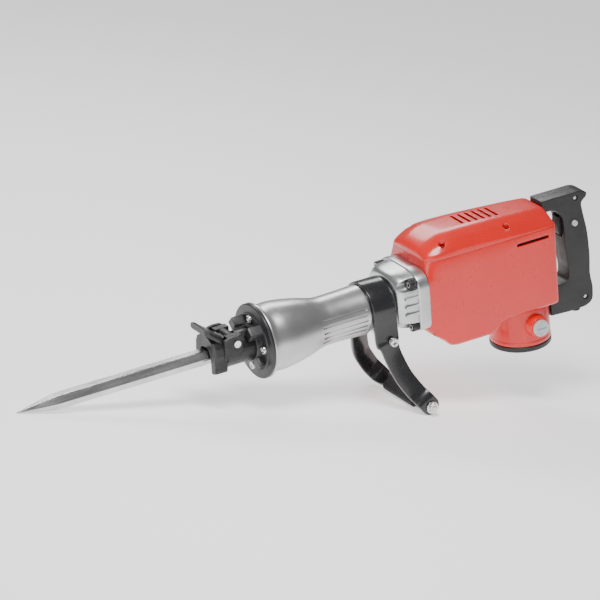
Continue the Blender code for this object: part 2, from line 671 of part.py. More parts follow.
def make_top_cover(m):
    """Red hood over the gears, with four screw recesses and a louvred crown."""
    stations = [
        (HOUSING_X, 79, 46, (38, 77.5), 75), (299, 85.5, 51, (42, 82), 77), (309, 92.5, 57, (46, 87), 79),
        (320, 98.3, 60, (48.5, 91), 81), (338, 103.6, 61, (50, 95.5), 83), (360, 104.4, 61, (50, 96.5), 84),
        (415, 103, 61, (50, 94.5), 82), (492, 98.8, 60.5, (50, 88), 78.5), (535, 95.6, 60, (49, 82.5), 76),
        (HOUSING_REAR_X, 91, 56.5, (45, 79), 75),
    ]
    rings = [along_x(x, hood_section(top, w, ridge, shoulder)) for x, top, w, ridge, shoulder in stations]
    obj = finish("top_cover", loft(rings), m["red"])
    inner = [(308, 92, 56, (46, 87), 79)] + stations[3:8] + [(535.5, 95, 59.5, (48.5, 82.2), 76)]
    hollow = [along_x(x, hood_section(top, w, ridge, shoulder, 4.5)) for x, top, w, ridge, shoulder in inner]
    cut(obj, "hood_space", loft(hollow))
    posts = bmesh.new()
    recesses = bmesh.new()
    holes = bmesh.new()
    for x, y in HOOD_SCREWS:
        rod(7.3, SPLIT_Z + 0.8, 88.4, "Z", (x, y), 15, posts)
        rod(4.9, 83, 110, "Z", (x, y), 12, recesses)
        rod(2.8, 60, 90, "Z", (x, y), 8, holes)
    join(obj, "screw_posts", posts)
    cut(obj, "screw_recesses", recesses)
    cut(obj, "screw_holes", holes)
    louvres = bmesh.new()
    for k in range(6):
        x = 388 + 13 * k
        box((x, -20, 92), (x + 5, 20, 110), louvres)
    cut(obj, "crown_louvres", louvres)
    return obj


def make_hood_screws(m):
    """Four screws in the hood's recesses."""
    for k, (x, y) in enumerate(HOOD_SCREWS):
        profile = [(87, 0), (87, 3.6), (86, 4.4), (83.3, 4.4), (83.3, 2.4), (73, 2.4), (73, 0)]
        screw = finish(f"hood_screw_{k + 1}", turned(profile, "Z", (x, y), 10), m["dark_steel"])
        cut(screw, f"hood_screw_slot_{k + 1}", box((x - 2.6, y - 0.6, 85.8), (x + 2.6, y + 0.6, 88)))


def make_motor_housing(m):
    """Red motor barrel under the gear housing, with a lip on top and a boss for each brush cap."""
    top = MOTOR_FLANGE_Z - 0.3
    profile = [
        (TAIL_TOP_Z + 0.3, MOTOR_BORE_R), (TAIL_TOP_Z + 0.3, MOTOR_HOUSING_R), (top, MOTOR_HOUSING_R),
        (top, STATOR_R + 0.5), (top - 3, STATOR_R + 0.5), (top - 3, MOTOR_BORE_R),
    ]
    obj = finish("motor_housing", turned(profile, "Z", (MOTOR_X, 0), 36), m["red"])
    bosses = bmesh.new()
    for side in (-1, 1):
        rod(18, min(side * 38, side * 63), max(side * 38, side * 63), "Y", (MOTOR_X, BRUSH_Z), 20, bosses)
    join(obj, "brush_bosses", bosses)
    cut(obj, "brush_bores", rod(8.8, -70, 70, "Y", (MOTOR_X, BRUSH_Z), 14))
    return obj


def make_tail_cover(m):
    """Black tail cap with air slots and the seat of the lower bearing."""
    profile = [
        (TAIL_BOTTOM_Z, 0), (TAIL_BOTTOM_Z, TAIL_R - 3), (TAIL_BOTTOM_Z + 3, TAIL_R), (TAIL_TOP_Z, TAIL_R),
        (TAIL_TOP_Z, 18), (-119, 18), (-119, 13.3), (-130, 13.3), (-130, 0),
    ]
    obj = finish("tail_cover", turned(profile, "Z", (MOTOR_X, 0), 36), m["black"])
    slots = bmesh.new()
    for side in (-1, 1):
        for k in range(3):
            middle = MOTOR_X + side * (23 + 7 * k)
            reach = 25 - 4 * k
            box((middle - 1.6, -reach, -146), (middle + 1.6, reach, -128), slots)
    cut(obj, "tail_slots", slots)
    holes = bmesh.new()
    for side in (-1, 1):
        counterbore = [(-146, 0), (-146, 5.2), (-136.5, 5.2), (-136.5, 2.6), (-128, 2.6), (-128, 0)]
        turned(counterbore, "Z", (MOTOR_X, side * 41), 10, holes)
    cut(obj, "tail_screw_holes", holes)
    return obj


def make_tail_screws(m):
    """Two screws recessed in the tail cap."""
    for name, side in (("near", -1), ("far", 1)):
        profile = [(-139.6, 0), (-139.6, 4.6), (-136.8, 4.6), (-136.8, 2.3), (-129.5, 2.3), (-129.5, 0)]
        finish("tail_screw_" + name, turned(profile, "Z", (MOTOR_X, side * 41), 10), m["zinc"])


# ---------------------------------------------------------------- rear handle

def handle_outline():
    """Side view of the rear handle: top arm, grip and foot, open towards the housing."""
    front = HOUSING_REAR_X + 0.6
    return rounded([
        (front, 99.5, 1), (618, 99.5, 8), (630, 94, 4), (629, 87, 3), (617.5, 79, 6), (621, 58, 12),
        (628, 25, 18), (630.5, -22, 14), (628.5, -52, 12), (633.5, -74, 8), (632.5, -99, 9), (620, -106.5, 9),
        (590, -108, 12), (550, -106, 1), (550, -66.5, 1), (front, -65.5, 1), (front, -54, 1), (572, -56, 8),
        (587, -52, 10), (589, -36, 10), (586, -16, 14), (582.5, 14, 14), (583, 46, 12), (580, 66, 10),
        (568, 78.5, 10), (front, 79.5, 1),
    ], 2)


def make_handle_half(name, side, m):
    """One moulded half of the rear handle, rounded on its outer face, with the switch pocket cut out."""
    bm = plate_xz(handle_outline(), side * SEAM_GAP, side * REAR_HALF_W)
    rim = [e for e in bm.edges if all(abs(abs(v.co.y) - REAR_HALF_W) < 0.01 for v in e.verts)]
    bmesh.ops.bevel(bm, geom=rim, offset=4.5, segments=2, profile=0.5, affect="EDGES", clamp_overlap=True)
    obj = finish(name, bm, m["plastic"])
    low = min(0, side * 10)
    high = max(0, side * 10)
    cut(obj, name + "_pocket", box((560, low - 0.5, 24), (614, high + 0.5, 64)))
    screws = bmesh.new()
    for x, z in ((608, 89), (619, -90)):
        counterbore = [(-22, 0), (-22, 4.6), (-13, 4.6), (-13, 2.4), (14, 2.4), (14, 0)]
        turned(counterbore, "Y", (x, z), 14, screws)
    cut(obj, name + "_screw_holes", screws)
    cut(obj, name + "_gland_seat", rod(9.3, -130, -100, "Z", (GLAND_X, 0), 20))
    return obj


def make_rear_handle(m):
    """Rear handle halves, switch, trigger, lock button, screws and cord gland."""
    near = make_handle_half("handle_near", -1, m)
    make_handle_half("handle_far", 1, m)
    cut(near, "lock_hole", rod(5.5, -25, -8, "Y", (GRIP_MID_X, 46), 16))
    trigger = rounded([(577.5, 61, 3), (575.5, 46, 8), (579, 27.5, 3), (596, 27.5, 2), (596, 61, 2)], 2)
    obj = finish("trigger", plate_xz(trigger, -8.5, 8.5), m["plastic"])
    bevel(obj, 1.2)
    finish("switch_block", box((603.5, -9.5, 27), (613.5, 9.5, 61)), m["grey"], smooth=False)
    button = [(-21.5, 0), (-21.5, 4), (-20.5, 5), (-13.2, 5), (-13.2, 0)]
    finish("lock_button", turned(button, "Y", (GRIP_MID_X, 46), 16), m["grey"])
    for name, x, z in (("top", 608, 89), ("low", 619, -90)):
        profile = [(-15.8, 0), (-15.8, 4.2), (-13.2, 4.2), (-13.2, 2.1), (12, 2.1), (12, 0)]
        finish("handle_screw_" + name, turned(profile, "Y", (x, z), 14), m["zinc"])
    gland = [(-116, 4.5), (-116, 7.5), (-110, 9), (-100.4, 9), (-100.4, 4.5)]
    finish("cord_gland", turned(gland, "Z", (GLAND_X, 0), 20), m["rubber"])


# ---------------------------------------------------------------- side handle

def band_station(y, s):
    """Return the centre and the width direction of the band at a side offset y and a distance s below the knee."""
    if s <= 0:
        return Vector((BAND_X, y, BAND_KNEE_Z - s)), Vector((1, 0, 0))
    for (s0, x0, z0), (s1, x1, z1) in zip(ARM_LINE, ARM_LINE[1:]):
        if s <= s1:
            t = (s - s0) / (s1 - s0)
            break
    way = Vector((x1 - x0, 0, z1 - z0)).normalized()
    width = Vector((1, 0, 0)).lerp(Vector((-way.z, 0, way.x)), min(s / 18.0, 1.0)).normalized()
    return Vector((x0 + (x1 - x0) * t, y, z0 + (z1 - z0) * t)), width


def band_path():
    """Side offset, distance below the knee and width of the band, from the near tab round to the bar's near end."""
    near = [
        (-80, 143, 10), (-80, 141.5, 20), (-80, 137, 27.5), (-80, 131, ARM_W), (-79.5, 120, ARM_W),
        (-77, 114, ARM_W), (-68, 104, ARM_W), (-58, 67, ARM_W), (-50, 30, ARM_W), (-47.5, 12, 33),
        (-46.5, 4, 40), (-45.5, 0, BAND_TOP_W), (-43.4, -20, BAND_TOP_W),
    ]
    arch = []
    for k in range(13):
        angle = pi + pi * k / 12
        arch.append((BAND_MID_R * cos(angle), BAND_KNEE_Z + BAND_MID_R * sin(angle), BAND_TOP_W))
    far = [
        (43.4, -20, BAND_TOP_W), (45.5, 0, BAND_TOP_W), (46.5, 4, 40), (48.5, 12, 33), (59, 33, ARM_W),
        (71, 56, ARM_W), (78.5, 74, ARM_W), (82, 94, ARM_W), (82.5, 106, ARM_W), (80.5, 116, ARM_W),
        (75, 125, ARM_W), (66, 130, 29), (57, 131.8, 26), (48, BAR_S, GRIP_BAND_W), (-44, BAR_S, GRIP_BAND_W),
        (-52, BAR_S, 26), (-74, BAR_S, 26),
    ]
    return near + arch + far


def make_side_handle(m):
    """Side handle: one flat band over the barrel collar, raked arms and a cross bar, closed by a bolt at its end."""
    placed = [(*band_station(y, s), width) for y, s, width in band_path()]
    rings = []
    count = len(placed)
    for i, (centre, across, width) in enumerate(placed):
        before = placed[max(i - 1, 0)][0]
        after = placed[min(i + 1, count - 1)][0]
        tangent = (after - before).normalized()
        normal = tangent.cross(across).normalized()
        across = normal.cross(tangent).normalized()
        half_w = across * (width / 2)
        half_t = normal * (BAND_T / 2)
        soft_w = across * (width / 2 - 1.2)
        soft_t = normal * (BAND_T / 2 - 1.2)
        rings.append([
            centre - half_w - soft_t, centre - soft_w - half_t, centre + soft_w - half_t, centre + half_w - soft_t,
            centre + half_w + soft_t, centre + soft_w + half_t, centre - soft_w + half_t, centre - half_w + soft_t,
        ])
    obj = finish("side_handle", loft(rings), m["black"])
    end = band_station(0, BAR_S)[0]
    join(obj, "end_boss", rod(12, -75.7, -56, "Y", (end.x, end.z), 24))
    cut(obj, "stud_hole", rod(4.3, -100, -54, "Y", (end.x, end.z), 15))
    cut(obj, "clamp_holes", rod(5.4, -70, 70, "Y", (CLAMP_X, CLAMP_Z), 16))
    return obj


def make_side_grip(m):
    """Moulded oval sleeve over the narrowed middle of the cross bar."""
    centre, across = band_station(0, BAR_S)
    normal = Vector((across.z, 0, -across.x))
    slot = [(-GRIP_BAND_W / 2 - 0.4, -BAND_T / 2 - 0.4), (GRIP_BAND_W / 2 + 0.4, -BAND_T / 2 - 0.4),
            (GRIP_BAND_W / 2 + 0.4, BAND_T / 2 + 0.4), (-GRIP_BAND_W / 2 - 0.4, BAND_T / 2 + 0.4)]
    oval = rounded([(-16, -7.6, 7), (16, -7.6, 7), (16, 7.6, 7), (-16, 7.6, 7)], 4)

    def stand(points, y):
        """Place (width, thickness) points at one station of the bar."""
        return [centre + across * u + normal * v + Vector((0, y, 0)) for u, v in points]

    obj = finish("side_grip", loft([stand(oval, y) for y in (-43, 46)]), m["plastic"])
    cut(obj, "grip_slot", loft([stand(slot, y) for y in (-60, 60)]))
    return obj


def make_side_handle_fasteners(m):
    """Clamp bolt and nut under the collar, and the stud, washer and nut at the bar's end."""
    socket_bolt("clamp_bolt", m["zinc"], 7.5, (-59.0, -51.4), 5.0, 61, "Y", (CLAMP_X, CLAMP_Z))
    nut = finish("clamp_nut", hexagon(15, 52.6, 60.2, "Y", (CLAMP_X, CLAMP_Z)), m["zinc"], smooth=False)
    cut(nut, "clamp_nut_bore", rod(5.3, 45, 65, "Y", (CLAMP_X, CLAMP_Z), 16))
    end = band_station(0, BAR_S)[0]
    finish("end_stud", rod(4.0, -93.0, -57, "Y", (end.x, end.z), 16), m["zinc"])
    end_nut = finish("end_nut", hexagon(14, -92.0, -86, "Y", (end.x, end.z)), m["zinc"], smooth=False)
    join(end_nut, "end_washer", rod(10.5, -86.5, -84.0, "Y", (end.x, end.z), 20))
    cut(end_nut, "end_nut_bore", rod(4.3, -100, -80, "Y", (end.x, end.z), 16))


# ---------------------------------------------------------------- assembly

def weld_all():
    """Close the hairline slivers that the Booleans leave."""
    for obj in bpy.data.objects:
        if obj.modifiers:
            weld = obj.modifiers.new("weld_slivers", "WELD")
            weld.merge_threshold = WELD_DISTANCE * MM


def place_all():
    """Lean the whole tool forward and shift it so that it stands on Z = 0 about its own centre."""
    stance = Matrix.Translation((SHIFT_X * MM, SHIFT_Y * MM, SHIFT_Z * MM)) @ Matrix.Rotation(REST_LEAN, 4, "Y")
    for obj in bpy.data.objects:
        obj.matrix_world = stance @ Matrix.Translation(obj.location)


def main():
    """Build every piece."""
    for obj in list(bpy.data.objects):
        bpy.data.objects.remove(obj, do_unlink=True)
    m = make_materials()
    make_bull_point(m)
    make_tool_holder(m)
    make_retainer(m)
    make_retainer_pin(m)
    make_front_cover(m)
    make_front_bolts(m)
    make_damper(m)
    make_barrel(m)
    make_liner(m)
    make_impact_bolt(m)
    make_striker(m)
    make_piston(m)
    make_piston_pin(m)
    make_connecting_rod(m)
    make_crankshaft(m)
    make_armature(m, make_gear_train(m))
    make_motor(m)
    make_crankcase(m)
    make_crankcase_bolts(m)
    make_gear_housing(m)
    make_top_cover(m)
    make_hood_screws(m)
    make_motor_housing(m)
    make_tail_cover(m)
    make_tail_screws(m)
    make_rear_handle(m)
    make_side_handle(m)
    make_side_grip(m)
    make_side_handle_fasteners(m)
    weld_all()
    place_all()


main()
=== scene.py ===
"""Looks of the electric jackhammer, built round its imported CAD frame.

Shapes are worked out in the tool frame, in millimetres: X runs along the hammer axis from the point (-X) to the rear
grip (+X), Z is up, and X = 0 is the face of the black front cover. STANCE takes them to the frame's world.
"""
import json
from math import cos, pi, radians, sin

import bmesh
import bpy
from mathutils import Matrix, Vector


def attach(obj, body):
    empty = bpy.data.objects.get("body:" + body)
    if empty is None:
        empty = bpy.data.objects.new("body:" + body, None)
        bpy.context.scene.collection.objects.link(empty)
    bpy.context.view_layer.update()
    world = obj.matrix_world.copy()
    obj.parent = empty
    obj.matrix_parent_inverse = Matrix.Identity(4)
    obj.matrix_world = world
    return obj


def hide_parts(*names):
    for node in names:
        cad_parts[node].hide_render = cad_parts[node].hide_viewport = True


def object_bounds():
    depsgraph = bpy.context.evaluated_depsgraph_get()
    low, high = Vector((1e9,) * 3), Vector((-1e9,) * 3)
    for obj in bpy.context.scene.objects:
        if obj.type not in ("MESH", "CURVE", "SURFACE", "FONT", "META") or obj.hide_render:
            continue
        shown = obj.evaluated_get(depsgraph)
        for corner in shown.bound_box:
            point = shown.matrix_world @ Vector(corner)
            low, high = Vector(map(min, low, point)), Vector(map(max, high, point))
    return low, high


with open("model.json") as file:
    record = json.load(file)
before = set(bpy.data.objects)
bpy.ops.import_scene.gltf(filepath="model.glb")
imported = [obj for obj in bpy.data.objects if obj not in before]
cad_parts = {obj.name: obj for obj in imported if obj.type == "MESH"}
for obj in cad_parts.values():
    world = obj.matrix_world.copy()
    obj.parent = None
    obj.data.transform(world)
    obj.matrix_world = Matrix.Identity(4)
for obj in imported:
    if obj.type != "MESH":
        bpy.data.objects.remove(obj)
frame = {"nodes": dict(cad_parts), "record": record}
CAD_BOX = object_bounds()

MM = 0.001
FINE = 3  # how many times more steps a curve has than in the CAD
JOINTS = {joint["name"]: joint for joint in frame["record"]["behaviour"]["joints"]}
BAND_X = 219.0
TOOL_X = Vector(JOINTS["point_slide"]["axis"]).normalized()
TOOL_Z = Vector(JOINTS["crank_spin"]["axis"]).normalized()
TOOL_Y = TOOL_Z.cross(TOOL_X)
ORIGIN = Vector(JOINTS["side_handle_swivel"]["pos_m"]) - TOOL_X * BAND_X * MM
STANCE = Matrix.Translation(ORIGIN) @ Matrix((TOOL_X, TOOL_Y, TOOL_Z)).transposed().to_4x4()


# ---------------------------------------------------------------- materials

def node_maker(material):
    """Return a function that adds a node with inputs: numbers set a socket, sockets are linked."""
    tree = material.node_tree

    def add(kind, inputs=(), **settings):
        node = tree.nodes.new(kind)
        for key, value in settings.items():
            setattr(node, key, value)
        for key, value in dict(inputs).items():
            if isinstance(value, bpy.types.NodeSocket):
                tree.links.new(value, node.inputs[key])
            else:
                node.inputs[key].default_value = value
        return node
    return add


def remap(add, value, low, high, to_low, to_high):
    """Map a range of a value smoothly on to another range."""
    node = add("ShaderNodeMapRange", {
        "Value": value, "From Min": low, "From Max": high, "To Min": to_low, "To Max": to_high,
    })
    return node.outputs["Result"]


def blend_colour(add, share, first, second):
    """Mix two colours by a share."""
    node = add("ShaderNodeMix", data_type="RGBA")
    for key, value in ((0, share), (6, first), (7, second)):
        if isinstance(value, bpy.types.NodeSocket):
            node.id_data.links.new(value, node.inputs[key])
        else:
            node.inputs[key].default_value = value
    return node.outputs[2]


def surface(name, colour, tint, roughness, metallic=0.0, cloud=9.0, grain=900.0, bump=0.12, spread=0.10,
            wear=None, wear_amount=0.5, stretch=(1.0, 1.0, 1.0), coat=0.0, speck=0.0, round_mm=0.7):
    """Make a procedural finish: cloudy colour, uneven gloss, fine grain, softened edges and wear along them.

    colour and tint are the two ends of the cloudy colour, spread is how far the roughness wanders, wear is the colour
    that shows along worn edges, and stretch draws the grain out along the tool's axes.
    """
    material = bpy.data.materials.new(name)
    material.use_nodes = True
    add = node_maker(material)
    shader = material.node_tree.nodes["Principled BSDF"]
    link = material.node_tree.links.new
    place = add("ShaderNodeTexCoord").outputs["Object"]
    lean = TOOL_X.to_track_quat("X", "Z").to_euler()
    turned_place = add("ShaderNodeMapping", {"Vector": place, "Rotation": (-lean.x, -lean.y, -lean.z)}).outputs[0]
    drawn = add("ShaderNodeMapping", {"Vector": turned_place, "Scale": stretch}).outputs[0]
    clouds = add("ShaderNodeTexNoise", {"Vector": turned_place, "Scale": cloud, "Detail": 6.0, "Roughness": 0.6})
    fine = add("ShaderNodeTexNoise", {"Vector": drawn, "Scale": grain, "Detail": 4.0, "Roughness": 0.65})
    smear = add("ShaderNodeTexNoise", {"Vector": drawn, "Scale": cloud * 7.0, "Detail": 8.0, "Roughness": 0.7})
    base = blend_colour(add, remap(add, clouds.outputs["Fac"], 0.35, 0.65, 0.0, 1.0), (*colour, 1.0), (*tint, 1.0))
    if speck:
        dust = add("ShaderNodeTexNoise", {"Vector": place, "Scale": grain * 0.45, "Detail": 2.0})
        dots = remap(add, dust.outputs["Fac"], 0.60, 0.72, 0.0, speck)
        base = blend_colour(add, dots, base, (*[min(c * 1.6 + 0.03, 1.0) for c in colour], 1.0))
    rough = remap(add, smear.outputs["Fac"], 0.3, 0.7, roughness - spread, roughness + spread)
    soft = add("ShaderNodeBevel", {"Radius": round_mm * MM}, samples=4)
    height = add("ShaderNodeMath", {0: fine.outputs["Fac"], 1: smear.outputs["Fac"]}, operation="ADD")
    relief = add("ShaderNodeBump", {
        "Strength": bump, "Distance": 0.0004, "Height": height.outputs[0], "Normal": soft.outputs["Normal"],
    })
    if wear:
        geometry = add("ShaderNodeNewGeometry")
        match = add("ShaderNodeVectorMath", {0: soft.outputs["Normal"], 1: geometry.outputs["Normal"]},
                    operation="DOT_PRODUCT")
        edge = remap(add, match.outputs["Value"], 0.985, 0.86, 0.0, 1.0)
        patch = remap(add, smear.outputs["Fac"], 0.50, 0.66, 0.0, wear_amount)
        share = add("ShaderNodeMath", {0: edge, 1: patch}, operation="MULTIPLY").outputs[0]
        base = blend_colour(add, share, base, (*wear, 1.0))
        rough = add("ShaderNodeMath", {0: rough, 1: remap(add, share, 0.0, 1.0, 0.0, 0.18)},
                    operation="ADD").outputs[0]
    link(base, shader.inputs["Base Color"])
    link(rough, shader.inputs["Roughness"])
    link(relief.outputs["Normal"], shader.inputs["Normal"])
    shader.inputs["Metallic"].default_value = metallic
    shader.inputs["Coat Weight"].default_value = coat
    shader.inputs["Coat Roughness"].default_value = 0.12
    return material


def make_materials():
    """Return every finish of the tool by its short name."""
    bare = (0.55, 0.53, 0.50)
    return {
        "red": surface("red_enamel", (0.70, 0.008, 0.004), (0.80, 0.012, 0.007), 0.30, cloud=6.0, grain=1300.0,
                       bump=0.06, spread=0.06, wear=(0.90, 0.30, 0.24), wear_amount=0.35, coat=0.5, round_mm=1.6),
        "black": surface("black_enamel", (0.010, 0.010, 0.011), (0.018, 0.018, 0.020), 0.24, cloud=14.0,
                         grain=1400.0, bump=0.05, spread=0.07, wear=(0.20, 0.20, 0.20), wear_amount=0.5, coat=0.4,
                         round_mm=1.0),
        "black_cast": surface("black_casting", (0.012, 0.012, 0.013), (0.028, 0.028, 0.030), 0.36, cloud=20.0,
                              grain=1100.0, bump=0.16, wear=(0.30, 0.29, 0.28), wear_amount=0.7, speck=0.3),
        "plastic": surface("black_moulding", (0.010, 0.010, 0.011), (0.020, 0.020, 0.022), 0.42, cloud=12.0,
                           grain=1700.0, bump=0.22, spread=0.08, wear=(0.09, 0.09, 0.095), speck=0.25, round_mm=1.2),
        "grip": surface("grip_moulding", (0.012, 0.012, 0.013), (0.022, 0.022, 0.024), 0.58, cloud=15.0,
                        grain=1500.0, bump=0.45, spread=0.08, wear=(0.07, 0.07, 0.07), speck=0.3),
        "cast": surface("cast_aluminium", (0.52, 0.53, 0.54), (0.64, 0.65, 0.655), 0.33, 1.0, cloud=11.0,
                        grain=1200.0, bump=0.14, spread=0.09, wear=(0.86, 0.86, 0.86), wear_amount=0.6, speck=0.12),
        "barrel": surface("burnished_aluminium", (0.50, 0.50, 0.51), (0.60, 0.60, 0.605), 0.34, 1.0, cloud=5.0,
                          grain=1400.0, bump=0.045, spread=0.05, wear=(0.85, 0.85, 0.85), wear_amount=0.5,
                          speck=0.06),
        "steel": surface("ground_steel", (0.50, 0.50, 0.51), (0.66, 0.66, 0.66), 0.27, 1.0, cloud=16.0,
                         grain=500.0, bump=0.16, spread=0.10, wear=(0.86, 0.86, 0.86), stretch=(0.08, 1.0, 1.0)),
        "dark_steel": surface("blackened_steel", (0.022, 0.022, 0.024), (0.050, 0.048, 0.048), 0.34, 0.55,
                              cloud=25.0, grain=1000.0, bump=0.20, wear=bare, wear_amount=0.75, speck=0.2),
        "zinc": surface("zinc_plate", (0.66, 0.67, 0.68), (0.82, 0.82, 0.80), 0.24, 1.0, cloud=40.0, grain=1500.0,
                        bump=0.10, spread=0.08, wear=(0.92, 0.92, 0.90), round_mm=0.4),
        "rubber": surface("black_rubber", (0.014, 0.014, 0.014), (0.028, 0.027, 0.026), 0.72, cloud=20.0,
                          grain=1300.0, bump=0.35),
        "grey": surface("grey_moulding", (0.42, 0.44, 0.46), (0.54, 0.56, 0.57), 0.38, cloud=22.0, grain=1500.0,
                        bump=0.16, wear=(0.75, 0.76, 0.77), speck=0.2, round_mm=0.8),
        "copper": surface("copper_winding", (0.48, 0.20, 0.09), (0.66, 0.32, 0.16), 0.36, 1.0, cloud=30.0,
                          grain=900.0, bump=0.30, wear=(0.80, 0.50, 0.30)),
        "iron": surface("field_iron", (0.10, 0.10, 0.105), (0.17, 0.165, 0.16), 0.55, 0.6, cloud=24.0, grain=900.0,
                        bump=0.3, wear=(0.4, 0.4, 0.4)),
        "carbon": surface("carbon_brush", (0.03, 0.03, 0.03), (0.06, 0.06, 0.06), 0.62, cloud=30.0, grain=1500.0,
                          bump=0.25),
        # Near-black painted shade, put behind slots and louvres where there is only shade.
        "shadow": surface("inner_shadow", (0.006, 0.006, 0.006), (0.012, 0.011, 0.011), 0.8, cloud=20.0,
                          grain=900.0, bump=0.1),
    }


M = make_materials()


# ---------------------------------------------------------------- mesh helpers

def finish(name, bm, material, smooth=True, sharp=34.0):
    """Turn a millimetre bmesh of the tool frame into an object of the world frame."""
    bmesh.ops.remove_doubles(bm, verts=bm.verts, dist=0.001)
    bmesh.ops.recalc_face_normals(bm, faces=bm.faces)
    bmesh.ops.scale(bm, verts=bm.verts, vec=(MM, MM, MM))
    bmesh.ops.transform(bm, matrix=STANCE, verts=bm.verts)
    for face in bm.faces:
        face.smooth = smooth
    mesh = bpy.data.meshes.new(name)
    bm.to_mesh(mesh)
    bm.free()
    mesh.set_sharp_from_angle(angle=radians(sharp))
    obj = bpy.data.objects.new(name, mesh)
    bpy.context.scene.collection.objects.link(obj)
    if material:
        mesh.materials.append(material)
    return obj


def boolean(obj, bm, operation, crossing=False):
    """Add an exact Boolean with a hidden operand; settle() applies it. crossing allows for faces that cross."""
    operand = finish(obj.name + "_operand", bm, None, smooth=True)
    operand.hide_render = True
    modifier = obj.modifiers.new(operand.name, "BOOLEAN")
    modifier.object = operand
    modifier.operation = operation
    modifier.solver = "EXACT"
    modifier.use_self = crossing


def cut(obj, bm, crossing=False):
    """Cut a millimetre bmesh out of an object."""
    boolean(obj, bm, "DIFFERENCE", crossing)


def join(obj, bm, crossing=False):
    """Join a millimetre bmesh onto an object."""
    boolean(obj, bm, "UNION", crossing)


def settle(obj, body, node=None, sharp=34.0):
    """Apply the Booleans, drop their operands, and tie the piece to its CAD body and node."""
    if obj.modifiers:
        operands = [modifier.object for modifier in obj.modifiers]
        weld = obj.modifiers.new("weld", "WELD")
        weld.merge_threshold = 0.00002
        bpy.context.view_layer.update()
        graph = bpy.context.evaluated_depsgraph_get()
        mesh = bpy.data.meshes.new_from_object(obj.evaluated_get(graph))
        obj.modifiers.clear()
        obj.data = mesh
        for operand in operands:
            bpy.data.objects.remove(operand, do_unlink=True)
        for polygon in mesh.polygons:
            polygon.use_smooth = True
        mesh.set_sharp_from_angle(angle=radians(sharp))
    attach(obj, body)
    if node:
        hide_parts(node)
    return obj


AXIS_TURN = {
    "X": Matrix(((0, 0, 1), (1, 0, 0), (0, 1, 0))).to_4x4(),
    "Y": Matrix(((0, 1, 0), (0, 0, 1), (1, 0, 0))).to_4x4(),
    "Z": Matrix.Identity(4),
}


def shift_of(axis, centre):
    """Return the translation that puts an axis through a centre given in its cross plane."""
    return Matrix.Translation({"X": (0, *centre), "Y": (centre[0], 0, centre[1]), "Z": (*centre, 0)}[axis])


def turned(profile, axis="X", centre=(0.0, 0.0), steps=28, bm=None):
    """Revolve a (distance along axis, radius) outline; an open outline is closed along the axis itself."""
    bm = bm or bmesh.new()
    old = set(bm.verts)
    verts = [bm.verts.new((radius, 0.0, along)) for along, radius in profile]
    edges = [bm.edges.new(pair) for pair in zip(verts, verts[1:])]
    if profile[0][1] > 0 and profile[-1][1] > 0:
        edges.append(bm.edges.new((verts[-1], verts[0])))
    bmesh.ops.spin(
        bm, geom=verts + edges, cent=(0, 0, 0), axis=(0, 0, 1), dvec=(0, 0, 0), angle=2 * pi, steps=steps * FINE,
        use_duplicate=False,
    )
    new = [v for v in bm.verts if v not in old]
    bmesh.ops.remove_doubles(bm, verts=new, dist=0.001)
    new = [v for v in bm.verts if v not in old]
    bmesh.ops.transform(bm, matrix=shift_of(axis, centre) @ AXIS_TURN[axis], verts=new)
    return bm


def softened(profile, radius, steps=3):
    """Round the inner corners of a revolved outline by short curves."""
    points = [profile[0]]
    for before, here, after in zip(profile, profile[1:], profile[2:]):
        b, h, a = Vector(before), Vector(here), Vector(after)
        reach_back = min(radius, (b - h).length * 0.45)
        reach_on = min(radius, (a - h).length * 0.45)
        back = (b - h).normalized() * reach_back
        ahead = (a - h).normalized() * reach_on
        for k in range(steps + 1):
            t = k / steps
            point = h + back * (1 - t) ** 2 + ahead * t ** 2
            points.append((point.x, point.y))
    points.append(profile[-1])
    return points


def rod(radius, start, end, axis="X", centre=(0.0, 0.0), steps=20, bm=None):
    """Make a solid cylinder along an axis."""
    return turned([(start, 0), (start, radius), (end, radius), (end, 0)], axis, centre, steps, bm)


def tube(inner, outer, start, end, axis="X", centre=(0.0, 0.0), steps=32, bm=None):
    """Make a plain tube along an axis."""
    return turned([(start, inner), (start, outer), (end, outer), (end, inner)], axis, centre, steps, bm)


def box(low, high, bm=None):
    """Make an axis-aligned block between two corners."""
    bm = bm or bmesh.new()
    size = Vector(high) - Vector(low)
    middle = (Vector(high) + Vector(low)) / 2
    matrix = Matrix.Translation(middle) @ Matrix.Diagonal((*size, 1.0))
    bmesh.ops.create_cube(bm, size=1.0, matrix=matrix)
    return bm


def loft(rings, bm=None):
    """Skin a list of equal-length rings of points and cap both ends; quads that are not flat are split."""
    bm = bm or bmesh.new()
    loops = [[bm.verts.new(point) for point in ring] for ring in rings]
    bent = []
    for first, second in zip(loops, loops[1:]):
        count = len(first)
        for i in range(count):
            j = (i + 1) % count
            face = bm.faces.new((first[i], first[j], second[j], second[i]))
            face.normal_update()
            if abs((second[i].co - first[i].co).dot(face.normal)) > 0.0005:
                bent.append(face)
    bm.faces.new(list(reversed(loops[0])))
    bm.faces.new(loops[-1])
    bmesh.ops.triangulate(bm, faces=bent)
    return bm


def rounded(corners, steps=3):
    """Round a polygon given as (u, v, radius) corners; each corner becomes a short curve."""
    points = []
    count = len(corners)
    for i in range(count):
        before = Vector(corners[i - 1][:2])
        here = Vector(corners[i][:2])
        after = Vector(corners[(i + 1) % count][:2])
        radius = corners[i][2]
        back = (before - here).normalized() * min(radius, (before - here).length * 0.49)
        ahead = (after - here).normalized() * min(radius, (after - here).length * 0.49)
        bends = steps * FINE if radius > 1.0 else steps
        for k in range(bends + 1):
            t = k / bends
            points.append(here + back * (1 - t) ** 2 + ahead * t ** 2)
    return [(p.x, p.y) for p in points]


def mirrored(half):
    """Complete a closed (y, z, radius) polygon from its +Y corners, listed from bottom to top."""
    return half + [(-y, z, radius) for y, z, radius in reversed(half)]


